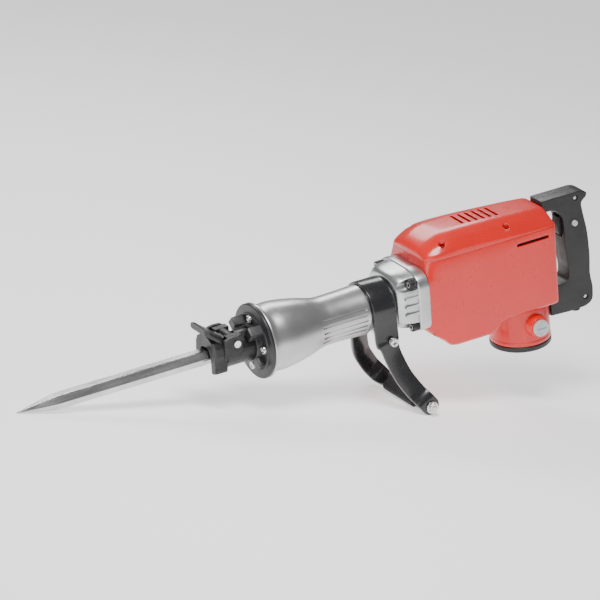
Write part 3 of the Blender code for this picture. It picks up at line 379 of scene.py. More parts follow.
def along_x(x, outline):
    """Stand a (y, z) outline at one station of the X axis."""
    return [(x, y, z) for y, z in outline]


def plate_xz(outline, y_start, y_end, bm=None):
    """Extrude an (x, z) outline along Y."""
    return loft([[(x, y, z) for x, z in outline] for y in (y_start, y_end)], bm)


def hexagon(flats, start, end, axis="X", centre=(0.0, 0.0), bm=None):
    """Make a hexagonal bar; its corners start on the first cross axis."""
    bm = bm or bmesh.new()
    old = set(bm.verts)
    radius = flats / 3 ** 0.5
    corners = [(radius * cos(k * pi / 3), radius * sin(k * pi / 3)) for k in range(6)]
    loft([[(u, v, along) for u, v in corners] for along in (start, end)], bm)
    new = [v for v in bm.verts if v not in old]
    bmesh.ops.transform(bm, matrix=shift_of(axis, centre) @ AXIS_TURN[axis], verts=new)
    return bm


def eased(stations, between=3):
    """Add stations on a smooth curve through rows of numbers, so that a loft has no flats along its length."""
    rows = []
    last = len(stations) - 1
    for i in range(last):
        p0, p1 = stations[max(i - 1, 0)], stations[i]
        p2, p3 = stations[i + 1], stations[min(i + 2, last)]
        for k in range(between):
            t = k / between
            row = []
            for a, b, c, d in zip(p0, p1, p2, p3):
                if b == c:
                    row.append(b)
                    continue
                slope_in, slope_out = (c - a) / 2, (d - b) / 2
                if (b - a) * (c - b) <= 0:
                    slope_in = 0.0
                if (c - b) * (d - c) <= 0:
                    slope_out = 0.0
                slope_in = max(-2 * abs(c - b), min(2 * abs(c - b), slope_in))
                slope_out = max(-2 * abs(c - b), min(2 * abs(c - b), slope_out))
                row.append((2 * t ** 3 - 3 * t ** 2 + 1) * b + (t ** 3 - 2 * t ** 2 + t) * slope_in
                           + (3 * t ** 2 - 2 * t ** 3) * c + (t ** 3 - t ** 2) * slope_out)
            rows.append(tuple(row))
    rows.append(tuple(stations[-1]))
    return rows


# ---------------------------------------------------------------- nose

CHISEL_R = 24.0 / 3 ** 0.5
NOSE_R = 27.0
COVER_R = 62.0
COVER_T = 5.7
BOLT_CIRCLE_R = 40.0


def chisel_ring(x, scale, soft=0.07):
    """Section of the hexagonal point: each corner is planed off a little."""
    points = []
    for k in range(6):
        here = Vector((cos(k * pi / 3), sin(k * pi / 3))) * CHISEL_R * scale
        for side in (-1, 1):
            near = Vector((cos((k + side) * pi / 3), sin((k + side) * pi / 3))) * CHISEL_R * scale
            for share in ((1.0, 0.35) if side < 0 else (0.35, 1.0)):
                point = here.lerp(near, soft * share)
                points.append((x, point.x * (1 - 0.02 * (1 - share)), point.y))
    return points


def make_bull_point():
    """Hexagonal point tool with softened corners, a long drawn taper and a notch for the retainer."""
    stations = [
        (-426.0, 0.05), (-425.0, 0.09), (-422.0, 0.13), (-412.0, 0.27), (-396.0, 0.50), (-378.0, 0.755),
        (-366.0, 0.915), (-361.0, 0.97), (-356.0, 1.0), (-230.0, 1.0), (-100.0, 1.0), (31.0, 1.0), (34.0, 0.86),
    ]
    obj = finish("point_bar", loft([chisel_ring(x, scale) for x, scale in stations]), M["steel"], sharp=22.0)
    cut(obj, box((-70, -20, 8), (-22, 20, 20)))
    settle(obj, "point", "bull_point", 22.0)


def screw_head(profile, name, material, axis, centre, socket, body, node, steps=12):
    """Revolve a screw and sink a hexagon socket, given as (flats, from, to), into its head."""
    obj = finish(name, turned(profile, axis, centre, steps), material)
    flats, start, end = socket
    cut(obj, hexagon(flats, start, end, axis, centre))
    return settle(obj, body, node)


def socket_bolt(name, material, head_r, head, shank_r, tip, axis, centre, body):
    """Cap screw with a domed rim, a knurled side and a hexagon socket."""
    outer, seat = head
    way = 1.0 if seat > outer else -1.0
    deep = abs(seat - outer)
    profile = [(outer + 0.5 * way, 0), (outer + 0.5 * way, head_r * 0.62), (outer, head_r * 0.68),
               (outer, head_r - 1.2), (outer + 0.35 * way, head_r - 0.45), (outer + 1.1 * way, head_r)]
    rings = max(int(deep / 1.6), 2)
    for k in range(1, rings):
        along = outer + way * (1.1 + (deep - 1.5) * k / rings)
        profile += [(along - 0.2 * way, head_r), (along, head_r - 0.25), (along + 0.2 * way, head_r)]
    profile += [(seat, head_r), (seat, shank_r), (tip, shank_r), (tip, 0)]
    socket = (head_r * 1.02, outer - way, outer + way * deep * 0.55)
    return screw_head(profile, name + "_screw", material, axis, centre, socket, body, name)


def make_front_cover():
    """Black bolted cover: stepped face with rounded steps, four stop blocks and plain bolt holes."""
    profile = softened([
        (COVER_T, NOSE_R + 0.4), (-11, NOSE_R + 0.4), (-11, 30.5), (-9.5, 32), (-2, 33), (-2, 47.5), (0, 49),
        (0, COVER_R - 1.5), (1.5, COVER_R), (COVER_T, COVER_R), (COVER_T, 50),
    ], 0.9)
    obj = finish("front_plate", turned(profile, steps=36), M["black_cast"])
    for turn, reach in ((45, 24), (-45, 22), (135, 12), (-135, 12)):
        outline = rounded([(-9, 31, 0.5), (9, 31, 0.5), (9, 47, 2.5), (-9, 47, 2.5)], 2)
        block = loft([[(x, y * s, 39 + (z - 39) * s) for y, z in outline]
                      for x, s in ((-reach, 0.90), (-reach + 1.2, 0.98), (-reach + 2.5, 1.0), (2, 1.0))])
        bmesh.ops.rotate(block, verts=block.verts, cent=(0, 0, 0), matrix=Matrix.Rotation(radians(turn), 3, "X"))
        join(obj, block)
    holes = bmesh.new()
    for k in range(4):
        centre = (BOLT_CIRCLE_R * cos(k * pi / 2), BOLT_CIRCLE_R * sin(k * pi / 2))
        rod(4.6, -15, 20, "X", centre, 10, holes)
    cut(obj, holes)
    settle(obj, "machine", "front_cover")
    for k in range(4):
        centre = (BOLT_CIRCLE_R * cos(k * pi / 2), BOLT_CIRCLE_R * sin(k * pi / 2))
        socket_bolt(f"front_bolt_{k + 1}", M["zinc"], 6.5, (-7.0, -2.3), 4.2, 36, "X", centre, "machine")


# ---------------------------------------------------------------- barrel and crankcase

COLLAR_R = 38.0
COLLAR_START_X = 196.6
COLLAR_END_X = 258.0
BORE_R = 31.0


def make_barrel():
    """Cast barrel with a rolled rim, a smooth neck and long flutes."""
    neck = eased([
        (12.6, 57.0), (20.0, 55.6), (35.0, 56.3), (50.0, 55.2), (67.0, 52.6), (80.0, 50.0), (94.0, 46.8),
        (106.0, 43.4), (117.0, 41.0), (126.0, 40.1), (137.0, 40.0), (156.0, 40.4), (175.0, 41.0), (190.0, 41.7),
    ], 4)
    profile = [(6, 34), (6, 61.0), (6.5, 61.7), (7.4, 62), (9.4, 62), (10.2, 61.6), (11.0, 60.0), (11.6, 58.2)]
    profile += neck
    profile += [(194, 41.9), (195.4, 41.8), (COLLAR_START_X, 41.0), (COLLAR_START_X, COLLAR_R),
                (COLLAR_END_X, COLLAR_R), (COLLAR_END_X, BORE_R), (16, BORE_R), (16, 34)]
    obj = finish("barrel_casting", turned(profile, steps=40), M["barrel"])
    flutes = bmesh.new()
    for side in (-1, 1):
        for k in range(5):
            flute = bmesh.new()
            outline = rounded([(106, -1.9, 1.9), (190, -1.9, 1.9), (190, 1.9, 1.9), (106, 1.9, 1.9)], 2)
            loft([[(x, 39.6, y) for x, y in outline], [(x, 46, y * 1.5) for x, y in outline]], flute)
            turn = Matrix.Rotation(radians(-30 + 13 * k), 3, "X")
            bmesh.ops.rotate(flute, verts=flute.verts, cent=(0, 0, 0), matrix=turn)
            bmesh.ops.scale(flute, verts=flute.verts, vec=(1, side, 1))
            bmesh.ops.recalc_face_normals(flute, faces=flute.faces)
            mesh = bpy.data.meshes.new("flute")
            flute.to_mesh(mesh)
            flute.free()
            flutes.from_mesh(mesh)
            bpy.data.meshes.remove(mesh)
    cut(obj, flutes)
    settle(obj, "machine", "barrel", 28.0)


CASE_FRONT_X = 243.0
FLANGE_X = 275.0
HOUSING_X = 295.0
CASE_BOLTS = ((-50.0, 41.0), (-50.0, -33.0), (50.0, 41.0), (50.0, -33.0))


def flange_outline(half_w, low, high, shoulder=14.0):
    """Flat-bottomed outline with an arched top, in the YZ plane."""
    return rounded(mirrored([(half_w, low, 12), (half_w, high - shoulder, 16), (half_w - 24, high, 22)]), 3)


def make_crankcase():
    """Cast crankcase: swelling body, ribs between the bolt pockets, flange with a rounded rim."""
    stations = eased([
        (CASE_FRONT_X, 45.5, -30, 47.5, 18), (244.5, 47.5, -31.5, 49.5, 18), (250, 52, -34, 53, 18),
        (260, 55.5, -37, 55, 17), (FLANGE_X + 0.5, 57, -39, 57, 16),
    ], 3)
    rings = [along_x(x, flange_outline(w, low, high, drop)) for x, w, low, high, drop in stations]
    obj = finish("crankcase_casting", loft(rings), M["cast"])
    flange = [(FLANGE_X - 0.5, -0.6), (FLANGE_X, 0.2), (FLANGE_X + 0.8, 0.9), (FLANGE_X + 2.0, 1.2),
              (HOUSING_X - 1.2, 1.2), (HOUSING_X - 0.3, 0.7)]
    plates = [along_x(x, flange_outline(60.3 + grow, -40 - grow, 58 + grow)) for x, grow in flange]
    join(obj, loft(plates))
    ribs = bmesh.new()
    for z in (20, 6, -8):
        outline = rounded([(251, z - 2.4, 1.5), (FLANGE_X + 0.5, z - 2.4, 0.3), (FLANGE_X + 0.5, z + 2.4, 0.3),
                           (251, z + 2.4, 1.5)], 2)
        plate_xz(outline, -59.5, 59.5, ribs)
    join(obj, ribs)
    pockets = bmesh.new()
    shanks = bmesh.new()
    for y, z in CASE_BOLTS:
        pocket = softened([(236, 0), (236, 10.6), (FLANGE_X - 0.2, 10.4), (FLANGE_X - 0.2, 0)], 2.0)
        turned(pocket, "X", (y, z), 16, pockets)
        rod(4.8, 270, 305, "X", (y, z), 10, shanks)
    cut(obj, pockets)
    cut(obj, shanks)
    cut(obj, rod(COLLAR_R + 0.4, 240, 262, steps=36))
    cut(obj, box((260.5, -34, -24), (305, 34, 24)))
    settle(obj, "machine", "crankcase", 30.0)
    for k, centre in enumerate(CASE_BOLTS):
        socket_bolt(f"crankcase_bolt_{k + 1}", M["dark_steel"], 8.0, (262.5, FLANGE_X - 0.3), 4.4, 305, "X", centre,
                    "machine")
        cup = tube(3.4, 4.5, 262.2, 262.9, "X", centre, 10)
        settle(finish(f"bolt_rim_{k + 1}", cup, M["zinc"]), "machine")


# ---------------------------------------------------------------- red housings

REAR_X = 541.0
SPLIT_Z = 72.0
FLOOR_Z = -85.0
MOTOR_TOP_Z = -66.0
MOTOR_X = 498.0
STATOR_R = 36.5
TAIL_TOP_Z = -132.0
TAIL_BOTTOM_Z = -141.5
TAIL_R = 51.4
BRUSH_Z = -96.0
HOOD_SCREWS = ((330.0, -48.5), (452.0, -48.5), (330.0, 48.5), (452.0, 48.5))


def housing_section(floor, half_w, top_half_w, inset=0.0):
    """Section of the lower housing: flat floor, rounded lower edge, upright wall that leans in at the front."""
    side = half_w - inset
    low = floor + inset
    return rounded(mirrored([
        (side, low, 8), (side, 40, 8), (top_half_w - inset, SPLIT_Z - 0.2 + inset * 2, 0.4),
    ]), 2)


def make_gear_housing():
    """Red lower housing with a softened rear edge and slots in its sides."""
    stations = eased([
        (HOUSING_X, -42, 60.5, 46), (300, -56, 61, 52), (309, -63, 61, 57), (320, -71, 61, 60),
        (342, FLOOR_Z, 61, 61), (408, FLOOR_Z, 61, 61), (440, MOTOR_TOP_Z, 61, 61),
        (533, MOTOR_TOP_Z, 60.4, 60.4), (537, MOTOR_TOP_Z, 59.3, 59.3), (539.6, MOTOR_TOP_Z + 0.4, 57.8, 57.8),
        (REAR_X, MOTOR_TOP_Z + 1, 55.5, 55.5),
    ], 3)
    rings = [along_x(x, housing_section(floor, w, top)) for x, floor, w, top in stations]
    obj = finish("lower_housing", loft(rings), M["red"])
    inner = [
        (307, -60, 61, 56), (320, -68, 61, 60), (345, FLOOR_Z, 61, 61), (406, FLOOR_Z, 61, 61),
        (436, MOTOR_TOP_Z, 61, 61), (536, MOTOR_TOP_Z, 60, 60),
    ]
    hollow = [along_x(x, housing_section(floor, w, top, 5.0)) for x, floor, w, top in inner]
    cut(obj, loft(hollow))
    cut(obj, box((290, -34, -24), (315, 34, 24)))
    cut(obj, rod(STATOR_R + 0.5, -95, -55, "Z", (MOTOR_X, 0), 30))
    slot = rounded([(464, 54.7, 2.6), (526, 54.7, 2.6), (526, 60.3, 2.6), (464, 60.3, 2.6)], 2)
    cut(obj, plate_xz(slot, -70, 70))
    holes = bmesh.new()
    for y, z in CASE_BOLTS:
        rod(4.8, 290, 312, "X", (y, z), 10, holes)
    cut(obj, holes)
    settle(obj, "machine", "gear_housing", 30.0)
    for side, name in ((-1, "near"), (1, "far")):
        # Painted shade: a near-black box behind each side slot stands in for the shade inside the housing.
        slot_shade_box = box((464, min(side * 54.6, side * 55.8), 53), (526, max(side * 54.6, side * 55.8), 62))
        settle(finish(f"vent_guard_{name}", slot_shade_box, M["shadow"]), "machine")


def hood_section(top, half_w, ridge_w, ridge_z, shoulder, inset=0.0):
    """Section of the hood: upright skirt, shoulder, sloped strip and flat crown."""
    base = SPLIT_Z + 0.2 if inset == 0 else SPLIT_Z - 4.0
    return rounded(mirrored([
        (half_w - inset, base, 0.3), (half_w - 0.8 - inset, shoulder - inset * 0.6, 4),
        (ridge_w - inset * 0.6, ridge_z - inset, 5), (ridge_w * 0.56, top - inset, 8),
    ]), 2)


def make_top_cover():
    """Red hood with rounded shoulders, screw recesses and a louvred crown."""
    plain = [
        (HOUSING_X, 79, 46, 38, 77.5, 75), (299, 85.5, 51, 43, 82, 77), (309, 92.5, 57, 46, 87, 79),
        (320, 98.3, 60, 48.5, 91, 81), (338, 103.6, 61, 50, 95.5, 83), (360, 104.4, 61, 50, 96.5, 84),
        (415, 103, 61, 50, 94.5, 82), (492, 98.8, 60.5, 50, 88, 78.5), (533, 95.7, 60, 49, 82.7, 76),
        (538, 94.0, 58.6, 47, 81, 75.6), (REAR_X, 91, 56.5, 45, 79, 75),
    ]
    obj = finish("hood", loft([along_x(x, hood_section(*row)) for x, *row in eased(plain, 3)]), M["red"])
    inner = [(308, 92, 56, 46, 87, 79)] + plain[3:8] + [(535.5, 95, 59.5, 48.5, 82.2, 76)]
    cut(obj, loft([along_x(x, hood_section(*row, inset=4.5)) for x, *row in inner]))
    posts = bmesh.new()
    recesses = bmesh.new()
    holes = bmesh.new()
    for x, y in HOOD_SCREWS:
        rod(7.3, SPLIT_Z + 0.8, 88.4, "Z", (x, y), 10, posts)
        turned([(83, 0), (83, 4.9), (92, 5.3), (110, 8.0), (110, 0)], "Z", (x, y), 10, recesses)
        rod(2.8, 60, 90, "Z", (x, y), 8, holes)
    join(obj, posts)
    cut(obj, recesses)
    cut(obj, holes)
    louvres = bmesh.new()
    for k in range(6):
        x = 388 + 13 * k
        outline = rounded([(x, -20, 2.3), (x + 5, -20, 2.3), (x + 5, 20, 2.3), (x, 20, 2.3)], 2)
        loft([[(u, v, z) for u, v in outline] for z in (92, 110)], louvres)
    cut(obj, louvres)
    settle(obj, "machine", "top_cover", 30.0)
    # Painted shade: a near-black sheet under the louvres stands in for the shade inside the hood.
    crown_shade_box = box((380, -24, 90.5), (468, 24, 92.0))
    settle(finish("louvre_painted_shade", crown_shade_box, M["shadow"]), "machine")
    for k, (x, y) in enumerate(HOOD_SCREWS):
        profile = softened([(87.2, 0), (87.0, 3.4), (86, 4.4), (83.3, 4.4), (83.3, 2.4), (73, 2.4), (73, 0)], 0.5)
        screw = finish(f"hood_screw_{k + 1}_head", turned(profile, "Z", (x, y), 10), M["dark_steel"])
        cross = bmesh.new()
        box((x - 2.6, y - 0.5, 85.6), (x + 2.6, y + 0.5, 88), cross)
        cut(screw, cross)
        cut(screw, box((x - 0.5, y - 2.6, 85.6), (x + 0.5, y + 2.6, 88)))
        settle(screw, "machine", f"hood_screw_{k + 1}")


def make_motor_housing():
    """Red motor barrel with a lip on top, a rolled lower band and a boss for each brush cap."""
    top = MOTOR_TOP_Z - 0.3
    bottom = TAIL_TOP_Z + 0.3
    profile = [
        (top, 44.0), (top, 48.8), (top - 0.5, 49.6), (top - 1.4, 50), (-124, 50), (-124.6, 50.5), (-126.5, 50.8),
        (bottom + 1.2, 50.8), (bottom + 0.4, 50.4), (bottom, 49.8), (bottom, 45), (top - 3, 45),
        (top - 3, STATOR_R + 0.5), (top, STATOR_R + 0.5),
    ]
    obj = finish("motor_barrel", turned(profile, "Z", (MOTOR_X, 0), 36), M["red"])
    bosses = bmesh.new()
    for side in (-1, 1):
        boss = [(side * 38, 0), (side * 38, 19.5), (side * 51, 19.2), (side * 54, 18.2), (side * 61.8, 17.8),
                (side * 62.7, 17.3), (side * 63, 16.4), (side * 63, 0)]
        turned(boss, "Y", (MOTOR_X, BRUSH_Z), 20, bosses)
    join(obj, bosses)
    cut(obj, rod(8.8, -70, 70, "Y", (MOTOR_X, BRUSH_Z), 14))
    settle(obj, "machine", "motor_housing", 30.0)
    for name, side in (("near", -1), ("far", 1)):
        profile = [
            (50 * side, 0), (50 * side, 8.5), (63.3 * side, 8.5), (63.3 * side, 13.4), (63.8 * side, 14),
            (68.0 * side, 14), (69.2 * side, 13.4), (69.9 * side, 12.3), (70 * side, 10.8), (69.2 * side, 9.8),
            (69.2 * side, 0),
        ]
        cap = finish(f"brush_cap_{name}_knob", turned(profile, "Y", (MOTOR_X, BRUSH_Z), 18), M["grey"])
        notches = bmesh.new()
        for k in range(14):
            turn = 2 * pi * k / 14
            centre = (MOTOR_X + 14.6 * cos(turn), BRUSH_Z + 14.6 * sin(turn))
            rod(1.3, min(side * 62, side * 72), max(side * 62, side * 72), "Y", centre, 4, notches)
        cut(cap, notches)
        cut(cap, box((MOTOR_X - 8, min(67.6 * side, 72 * side), BRUSH_Z - 1.3),
                     (MOTOR_X + 8, max(67.6 * side, 72 * side), BRUSH_Z + 1.3)))
        settle(cap, "machine", f"brush_cap_{name}")


def make_tail_cover():
    """Black tail cap with a rounded foot, air slots and two recessed screws."""
    profile = [
        (TAIL_BOTTOM_Z, 0), (TAIL_BOTTOM_Z, TAIL_R - 3), (TAIL_BOTTOM_Z + 0.6, TAIL_R - 1.3),
        (TAIL_BOTTOM_Z + 1.7, TAIL_R - 0.4), (TAIL_BOTTOM_Z + 3, TAIL_R), (TAIL_TOP_Z - 0.8, TAIL_R),
        (TAIL_TOP_Z, TAIL_R - 0.7), (TAIL_TOP_Z, 18), (-119, 18), (-119, 13.3), (-130, 13.3), (-130, 0),
    ]
    obj = finish("tail_cap", turned(profile, "Z", (MOTOR_X, 0), 36), M["plastic"])
    slots = bmesh.new()
    for side in (-1, 1):
        for k in range(3):
            middle = MOTOR_X + side * (23 + 7 * k)
            reach = 25 - 4 * k
            outline = rounded([(middle - 1.6, -reach, 1.5), (middle + 1.6, -reach, 1.5), (middle + 1.6, reach, 1.5),
                               (middle - 1.6, reach, 1.5)], 2)
            loft([[(u, v, z) for u, v in outline] for z in (-146, -128)], slots)
    cut(obj, slots)
    holes = bmesh.new()
    for side in (-1, 1):
        counterbore = [(-146, 0), (-146, 5.2), (-136.5, 5.2), (-136.5, 2.6), (-128, 2.6), (-128, 0)]
        turned(counterbore, "Z", (MOTOR_X, side * 41), 10, holes)
    cut(obj, holes)
    settle(obj, "machine", "tail_cover")


# ---------------------------------------------------------------- rear handle

HALF_W = 17.5
GRIP_MID_X = 603.0
GLAND_X = 608.0


def handle_outline():
    """Side view of the rear handle: top arm, grip and foot, open towards the housing."""
    front = REAR_X + 0.6
    return rounded([
        (front, 99.5, 1), (618, 99.5, 8), (630, 94, 4), (629, 87, 3), (617.5, 79, 6), (621, 58, 12),
        (628, 25, 18), (630.5, -22, 14), (628.5, -52, 12), (633.5, -74, 8), (632.5, -99, 9), (620, -106.5, 9),
        (590, -108, 12), (550, -106, 1), (550, -66.5, 1), (front, -65.5, 1), (front, -54, 1), (572, -56, 8),
        (587, -52, 10), (589, -36, 10), (586, -16, 14), (582.5, 14, 14), (583, 46, 12), (580, 66, 10),
        (568, 78.5, 10), (front, 79.5, 1),
    ], 2)


def make_rear_handle():
    """Moulded handle halves with a soft rim, trigger, lock button, screws and cord gland."""
    for name, side in (("near", -1), ("far", 1)):
        bm = plate_xz(handle_outline(), side * 0.15, side * HALF_W)
        rim = [e for e in bm.edges if all(abs(abs(v.co.y) - HALF_W) < 0.01 for v in e.verts)]
        bmesh.ops.bevel(bm, geom=rim, offset=4.5, segments=6, profile=0.5, affect="EDGES", clamp_overlap=True)
        obj = finish(f"handle_shell_{name}", bm, M["plastic"], sharp=30.0)
        cut(obj, box((560, min(0, side * 10) - 0.5, 24), (614, max(0, side * 10) + 0.5, 64)))
        screws = bmesh.new()
        for x, z in ((608, 89), (619, -90)):
            rod(4.6, -22, -13.0, "Y", (x, z), 14, screws)
        cut(obj, screws)
        bores = bmesh.new()
        for x, z in ((608, 89), (619, -90)):
            rod(2.4, -14, 14, "Y", (x, z), 12, bores)
        cut(obj, bores)
        cut(obj, rod(9.3, -130, -100, "Z", (GLAND_X, 0), 20))
        if side < 0:
            cut(obj, rod(5.5, -25, -8, "Y", (GRIP_MID_X, 46), 12))
        settle(obj, "machine", f"handle_{name}", 30.0)
    trigger = rounded([(577.5, 61, 3), (575.5, 46, 8), (579, 27.5, 3), (596, 27.5, 2), (596, 61, 2)], 2)
    bm = plate_xz(trigger, -8.5, 8.5)
    rim = [e for e in bm.edges if all(abs(abs(v.co.y) - 8.5) < 0.01 for v in e.verts)]
    bmesh.ops.bevel(bm, geom=rim, offset=1.6, segments=4, profile=0.5, affect="EDGES", clamp_overlap=True)
    obj = finish("trigger_paddle", bm, M["plastic"], sharp=30.0)
    grooves = bmesh.new()
    for k in range(5):
        rod(0.55, -6.2, 6.2, "Y", (576.0 + 0.28 * abs(k - 2) ** 1.5, 36 + 5 * k), 4, grooves)
    cut(obj, grooves)
    settle(obj, "trigger", "trigger", 30.0)
    button = [(-21.5, 0), (-21.5, 3.4), (-21.1, 4.4), (-20.2, 5), (-13.2, 5), (-13.2, 0)]
    obj = finish("lock_stud", turned(button, "Y", (GRIP_MID_X, 46), 16), M["grey"])
    settle(obj, "lock_button", "lock_button")
    for name, x, z in (("top", 608, 89), ("low", 619, -90)):
        profile = [(-15.9, 0), (-15.6, 3.2), (-15.0, 4.0), (-14.4, 4.2), (-13.2, 4.2), (-13.2, 2.1), (12, 2.1),
                   (12, 0)]
        screw = finish(f"handle_screw_{name}_head", turned(profile, "Y", (x, z), 14), M["zinc"])
        cut(screw, box((x - 2.4, -17, z - 0.45), (x + 2.4, -14.7, z + 0.45)))
        cut(screw, box((x - 0.45, -17, z - 2.4), (x + 0.45, -14.7, z + 2.4)))
        settle(screw, "machine", f"handle_screw_{name}")
    gland = [(-116, 4.5), (-116, 6.9), (-115.4, 7.5), (-114, 7.8), (-113.4, 7.2), (-112.6, 7.2), (-112, 8.3),
             (-110.6, 8.8), (-110, 8.2), (-109.2, 8.2), (-108.6, 9), (-100.4, 9), (-100.4, 4.5)]
    settle(finish("gland_boot", turned(gland, "Z", (GLAND_X, 0), 20), M["rubber"]), "machine", "cord_gland")


# ---------------------------------------------------------------- side handle

BAND_KNEE_Z = -46.0
ARM_LINE = ((0.0, 219.0, -46.0), (30.0, 226.0, -75.0), (67.0, 238.0, -110.0), (104.0, 256.0, -142.0),
            (150.0, 282.3, -179.8))
BAND_T = 7.2
BAND_MID_R = 41.95
BAND_TOP_W = 42.0
ARM_W = 31.0
GRIP_BAND_W = 23.0
BAR_S = 132.0
CLAMP_X = 226.0
CLAMP_Z = -47.0


def band_station(y, s):
    """Return the centre and the width direction of the band at a side offset y and a distance s below the knee."""
    if s <= 0:
        return Vector((BAND_X, y, BAND_KNEE_Z - s)), Vector((1, 0, 0))
    for (s0, x0, z0), (s1, x1, z1) in zip(ARM_LINE, ARM_LINE[1:]):
        if s <= s1:
            t = (s - s0) / (s1 - s0)
            break
    way = Vector((x1 - x0, 0, z1 - z0)).normalized()
    width = Vector((1, 0, 0)).lerp(Vector((-way.z, 0, way.x)), min(s / 18.0, 1.0)).normalized()
    return Vector((x0 + (x1 - x0) * t, y, z0 + (z1 - z0) * t)), width


def band_path():
    """Side offset, distance below the knee and width of the band, from the near tab round to the bar's near end."""
    near = [
        (-80, 143, 10), (-80, 141.5, 20), (-80, 137, 27.5), (-80, 131, ARM_W), (-79.5, 120, ARM_W),
        (-77, 114, ARM_W), (-68, 104, ARM_W), (-58, 67, ARM_W), (-50, 30, ARM_W), (-47.5, 12, 33),
        (-46.5, 4, 40), (-45.5, 0, BAND_TOP_W), (-43.4, -20, BAND_TOP_W),
    ]
    arch = []
    for k in range(13):
        angle = pi + pi * k / 12
        arch.append((BAND_MID_R * cos(angle), BAND_KNEE_Z + BAND_MID_R * sin(angle), BAND_TOP_W))
    far = [
        (43.4, -20, BAND_TOP_W), (45.5, 0, BAND_TOP_W), (46.5, 4, 40), (48.5, 12, 33), (59, 33, ARM_W),
        (71, 56, ARM_W), (78.5, 74, ARM_W), (82, 94, ARM_W), (82.5, 106, ARM_W), (80.5, 116, ARM_W),
        (75, 125, ARM_W), (66, 130, 29), (57, 131.8, 26), (48, BAR_S, GRIP_BAND_W), (-44, BAR_S, GRIP_BAND_W),
        (-52, BAR_S, 26), (-74, BAR_S, 26),
    ]
    return near + arch + far


def make_side_handle():
    """Side handle: a forged band with rounded edges over the collar, raked arms, a cross bar and its sleeve."""
    placed = [(*band_station(y, s), width) for y, s, width in band_path()]
    rows = [(c.x, c.y, c.z, a.x, a.y, a.z, w) for c, a, w in placed]
    fine = eased(rows, 4)
    centres = [Vector(row[:3]) for row in fine]
    rings = []
    for i, row in enumerate(fine):
        centre = centres[i]
        tangent = (centres[min(i + 1, len(fine) - 1)] - centres[max(i - 1, 0)]).normalized()
        normal = tangent.cross(Vector(row[3:6])).normalized()
        across = normal.cross(tangent).normalized()
        half_w, half_t, soft = row[6] / 2, BAND_T / 2, 1.9
        ring = []
        for u, v in rounded([(-half_w, -half_t, soft), (half_w, -half_t, soft), (half_w, half_t, soft),
                             (-half_w, half_t, soft)], 1):
            ring.append(centre + across * u + normal * v)
        rings.append(ring)
    obj = finish("handle_band", loft(rings), M["black"], sharp=40.0)
    end = band_station(0, BAR_S)[0]
    eye = [(-75.7, 0), (-75.7, 11), (-74.7, 12), (-58, 12), (-56, 10.5), (-56, 0)]
    join(obj, turned(eye, "Y", (end.x, end.z), 24), True)
    cut(obj, rod(4.3, -100, -54, "Y", (end.x, end.z), 15), True)
    cut(obj, rod(5.4, -70, 70, "Y", (CLAMP_X, CLAMP_Z), 16), True)
    settle(obj, "side_handle", "side_handle", 40.0)

    centre, across = band_station(0, BAR_S)
    normal = Vector((across.z, 0, -across.x))
    edge = BAND_T / 2 + 0.4
    half = GRIP_BAND_W / 2 + 0.4

    def stand(points, y):
        """Place (width, thickness) points at one station of the bar."""
        return [centre + across * u + normal * v + Vector((0, y, 0)) for u, v in points]

    rings = []
    lengths = [(-43.0, 0.90), (-42.3, 0.96), (-41.0, 1.0)]
    for k in range(15):
        start = -38.0 + 5.4 * k
        lengths += [(start, 1.0), (start + 0.7, 0.955), (start + 1.9, 0.955), (start + 2.6, 1.0)]
    lengths += [(44.0, 1.0), (45.3, 0.96), (46.0, 0.90)]
    for y, scale in lengths:
        oval = rounded([(-16 * scale, -7.6 * scale, 7), (16 * scale, -7.6 * scale, 7), (16 * scale, 7.6 * scale, 7),
                        (-16 * scale, 7.6 * scale, 7)], 3)
        rings.append(stand(oval, y))
    obj = finish("grip_sleeve", loft(rings), M["grip"])
    cut(obj, loft([stand([(-half, -edge), (half, -edge), (half, edge), (-half, edge)], y) for y in (-60, 60)]))
    settle(obj, "side_handle", "side_grip")

    socket_bolt("clamp_bolt", M["zinc"], 7.5, (-59.0, -51.4), 5.0, 61, "Y", (CLAMP_X, CLAMP_Z), "side_handle")
    nut = finish("clamp_nut_hex", hexagon(15, 52.6, 60.2, "Y", (CLAMP_X, CLAMP_Z)), M["zinc"], smooth=False)
    cut(nut, rod(5.3, 45, 65, "Y", (CLAMP_X, CLAMP_Z), 16))
    settle(nut, "side_handle", "clamp_nut")
    stud = [(-93.0, 0), (-93.0, 3.2), (-92.2, 4.0)]
    for k in range(6):
        stud += [(-91.6 + 0.9 * k, 3.6), (-91.15 + 0.9 * k, 4.0)]
    stud += [(-57, 4.0), (-57, 0)]
    settle(finish("stud_thread", turned(stud, "Y", (end.x, end.z), 14), M["zinc"]), "side_handle", "end_stud")
    end_nut = finish("end_nut_hex", hexagon(14, -92.0, -86, "Y", (end.x, end.z)), M["zinc"], smooth=False)
    chamfer = turned([(-93.5, 9.5), (-93.5, 6.6), (-91.6, 8.3), (-91.0, 9.5)], "Y", (end.x, end.z), 16)
    cut(end_nut, chamfer)
    washer = [(-86.5, 0), (-86.5, 9.9), (-86.1, 10.5), (-84.0, 10.5), (-84.0, 0)]
    join(end_nut, turned(washer, "Y", (end.x, end.z), 20))
    cut(end_nut, rod(4.3, -100, -80, "Y", (end.x, end.z), 16))
    settle(end_nut, "side_handle", "end_nut")


# ---------------------------------------------------------------- carried-over pieces

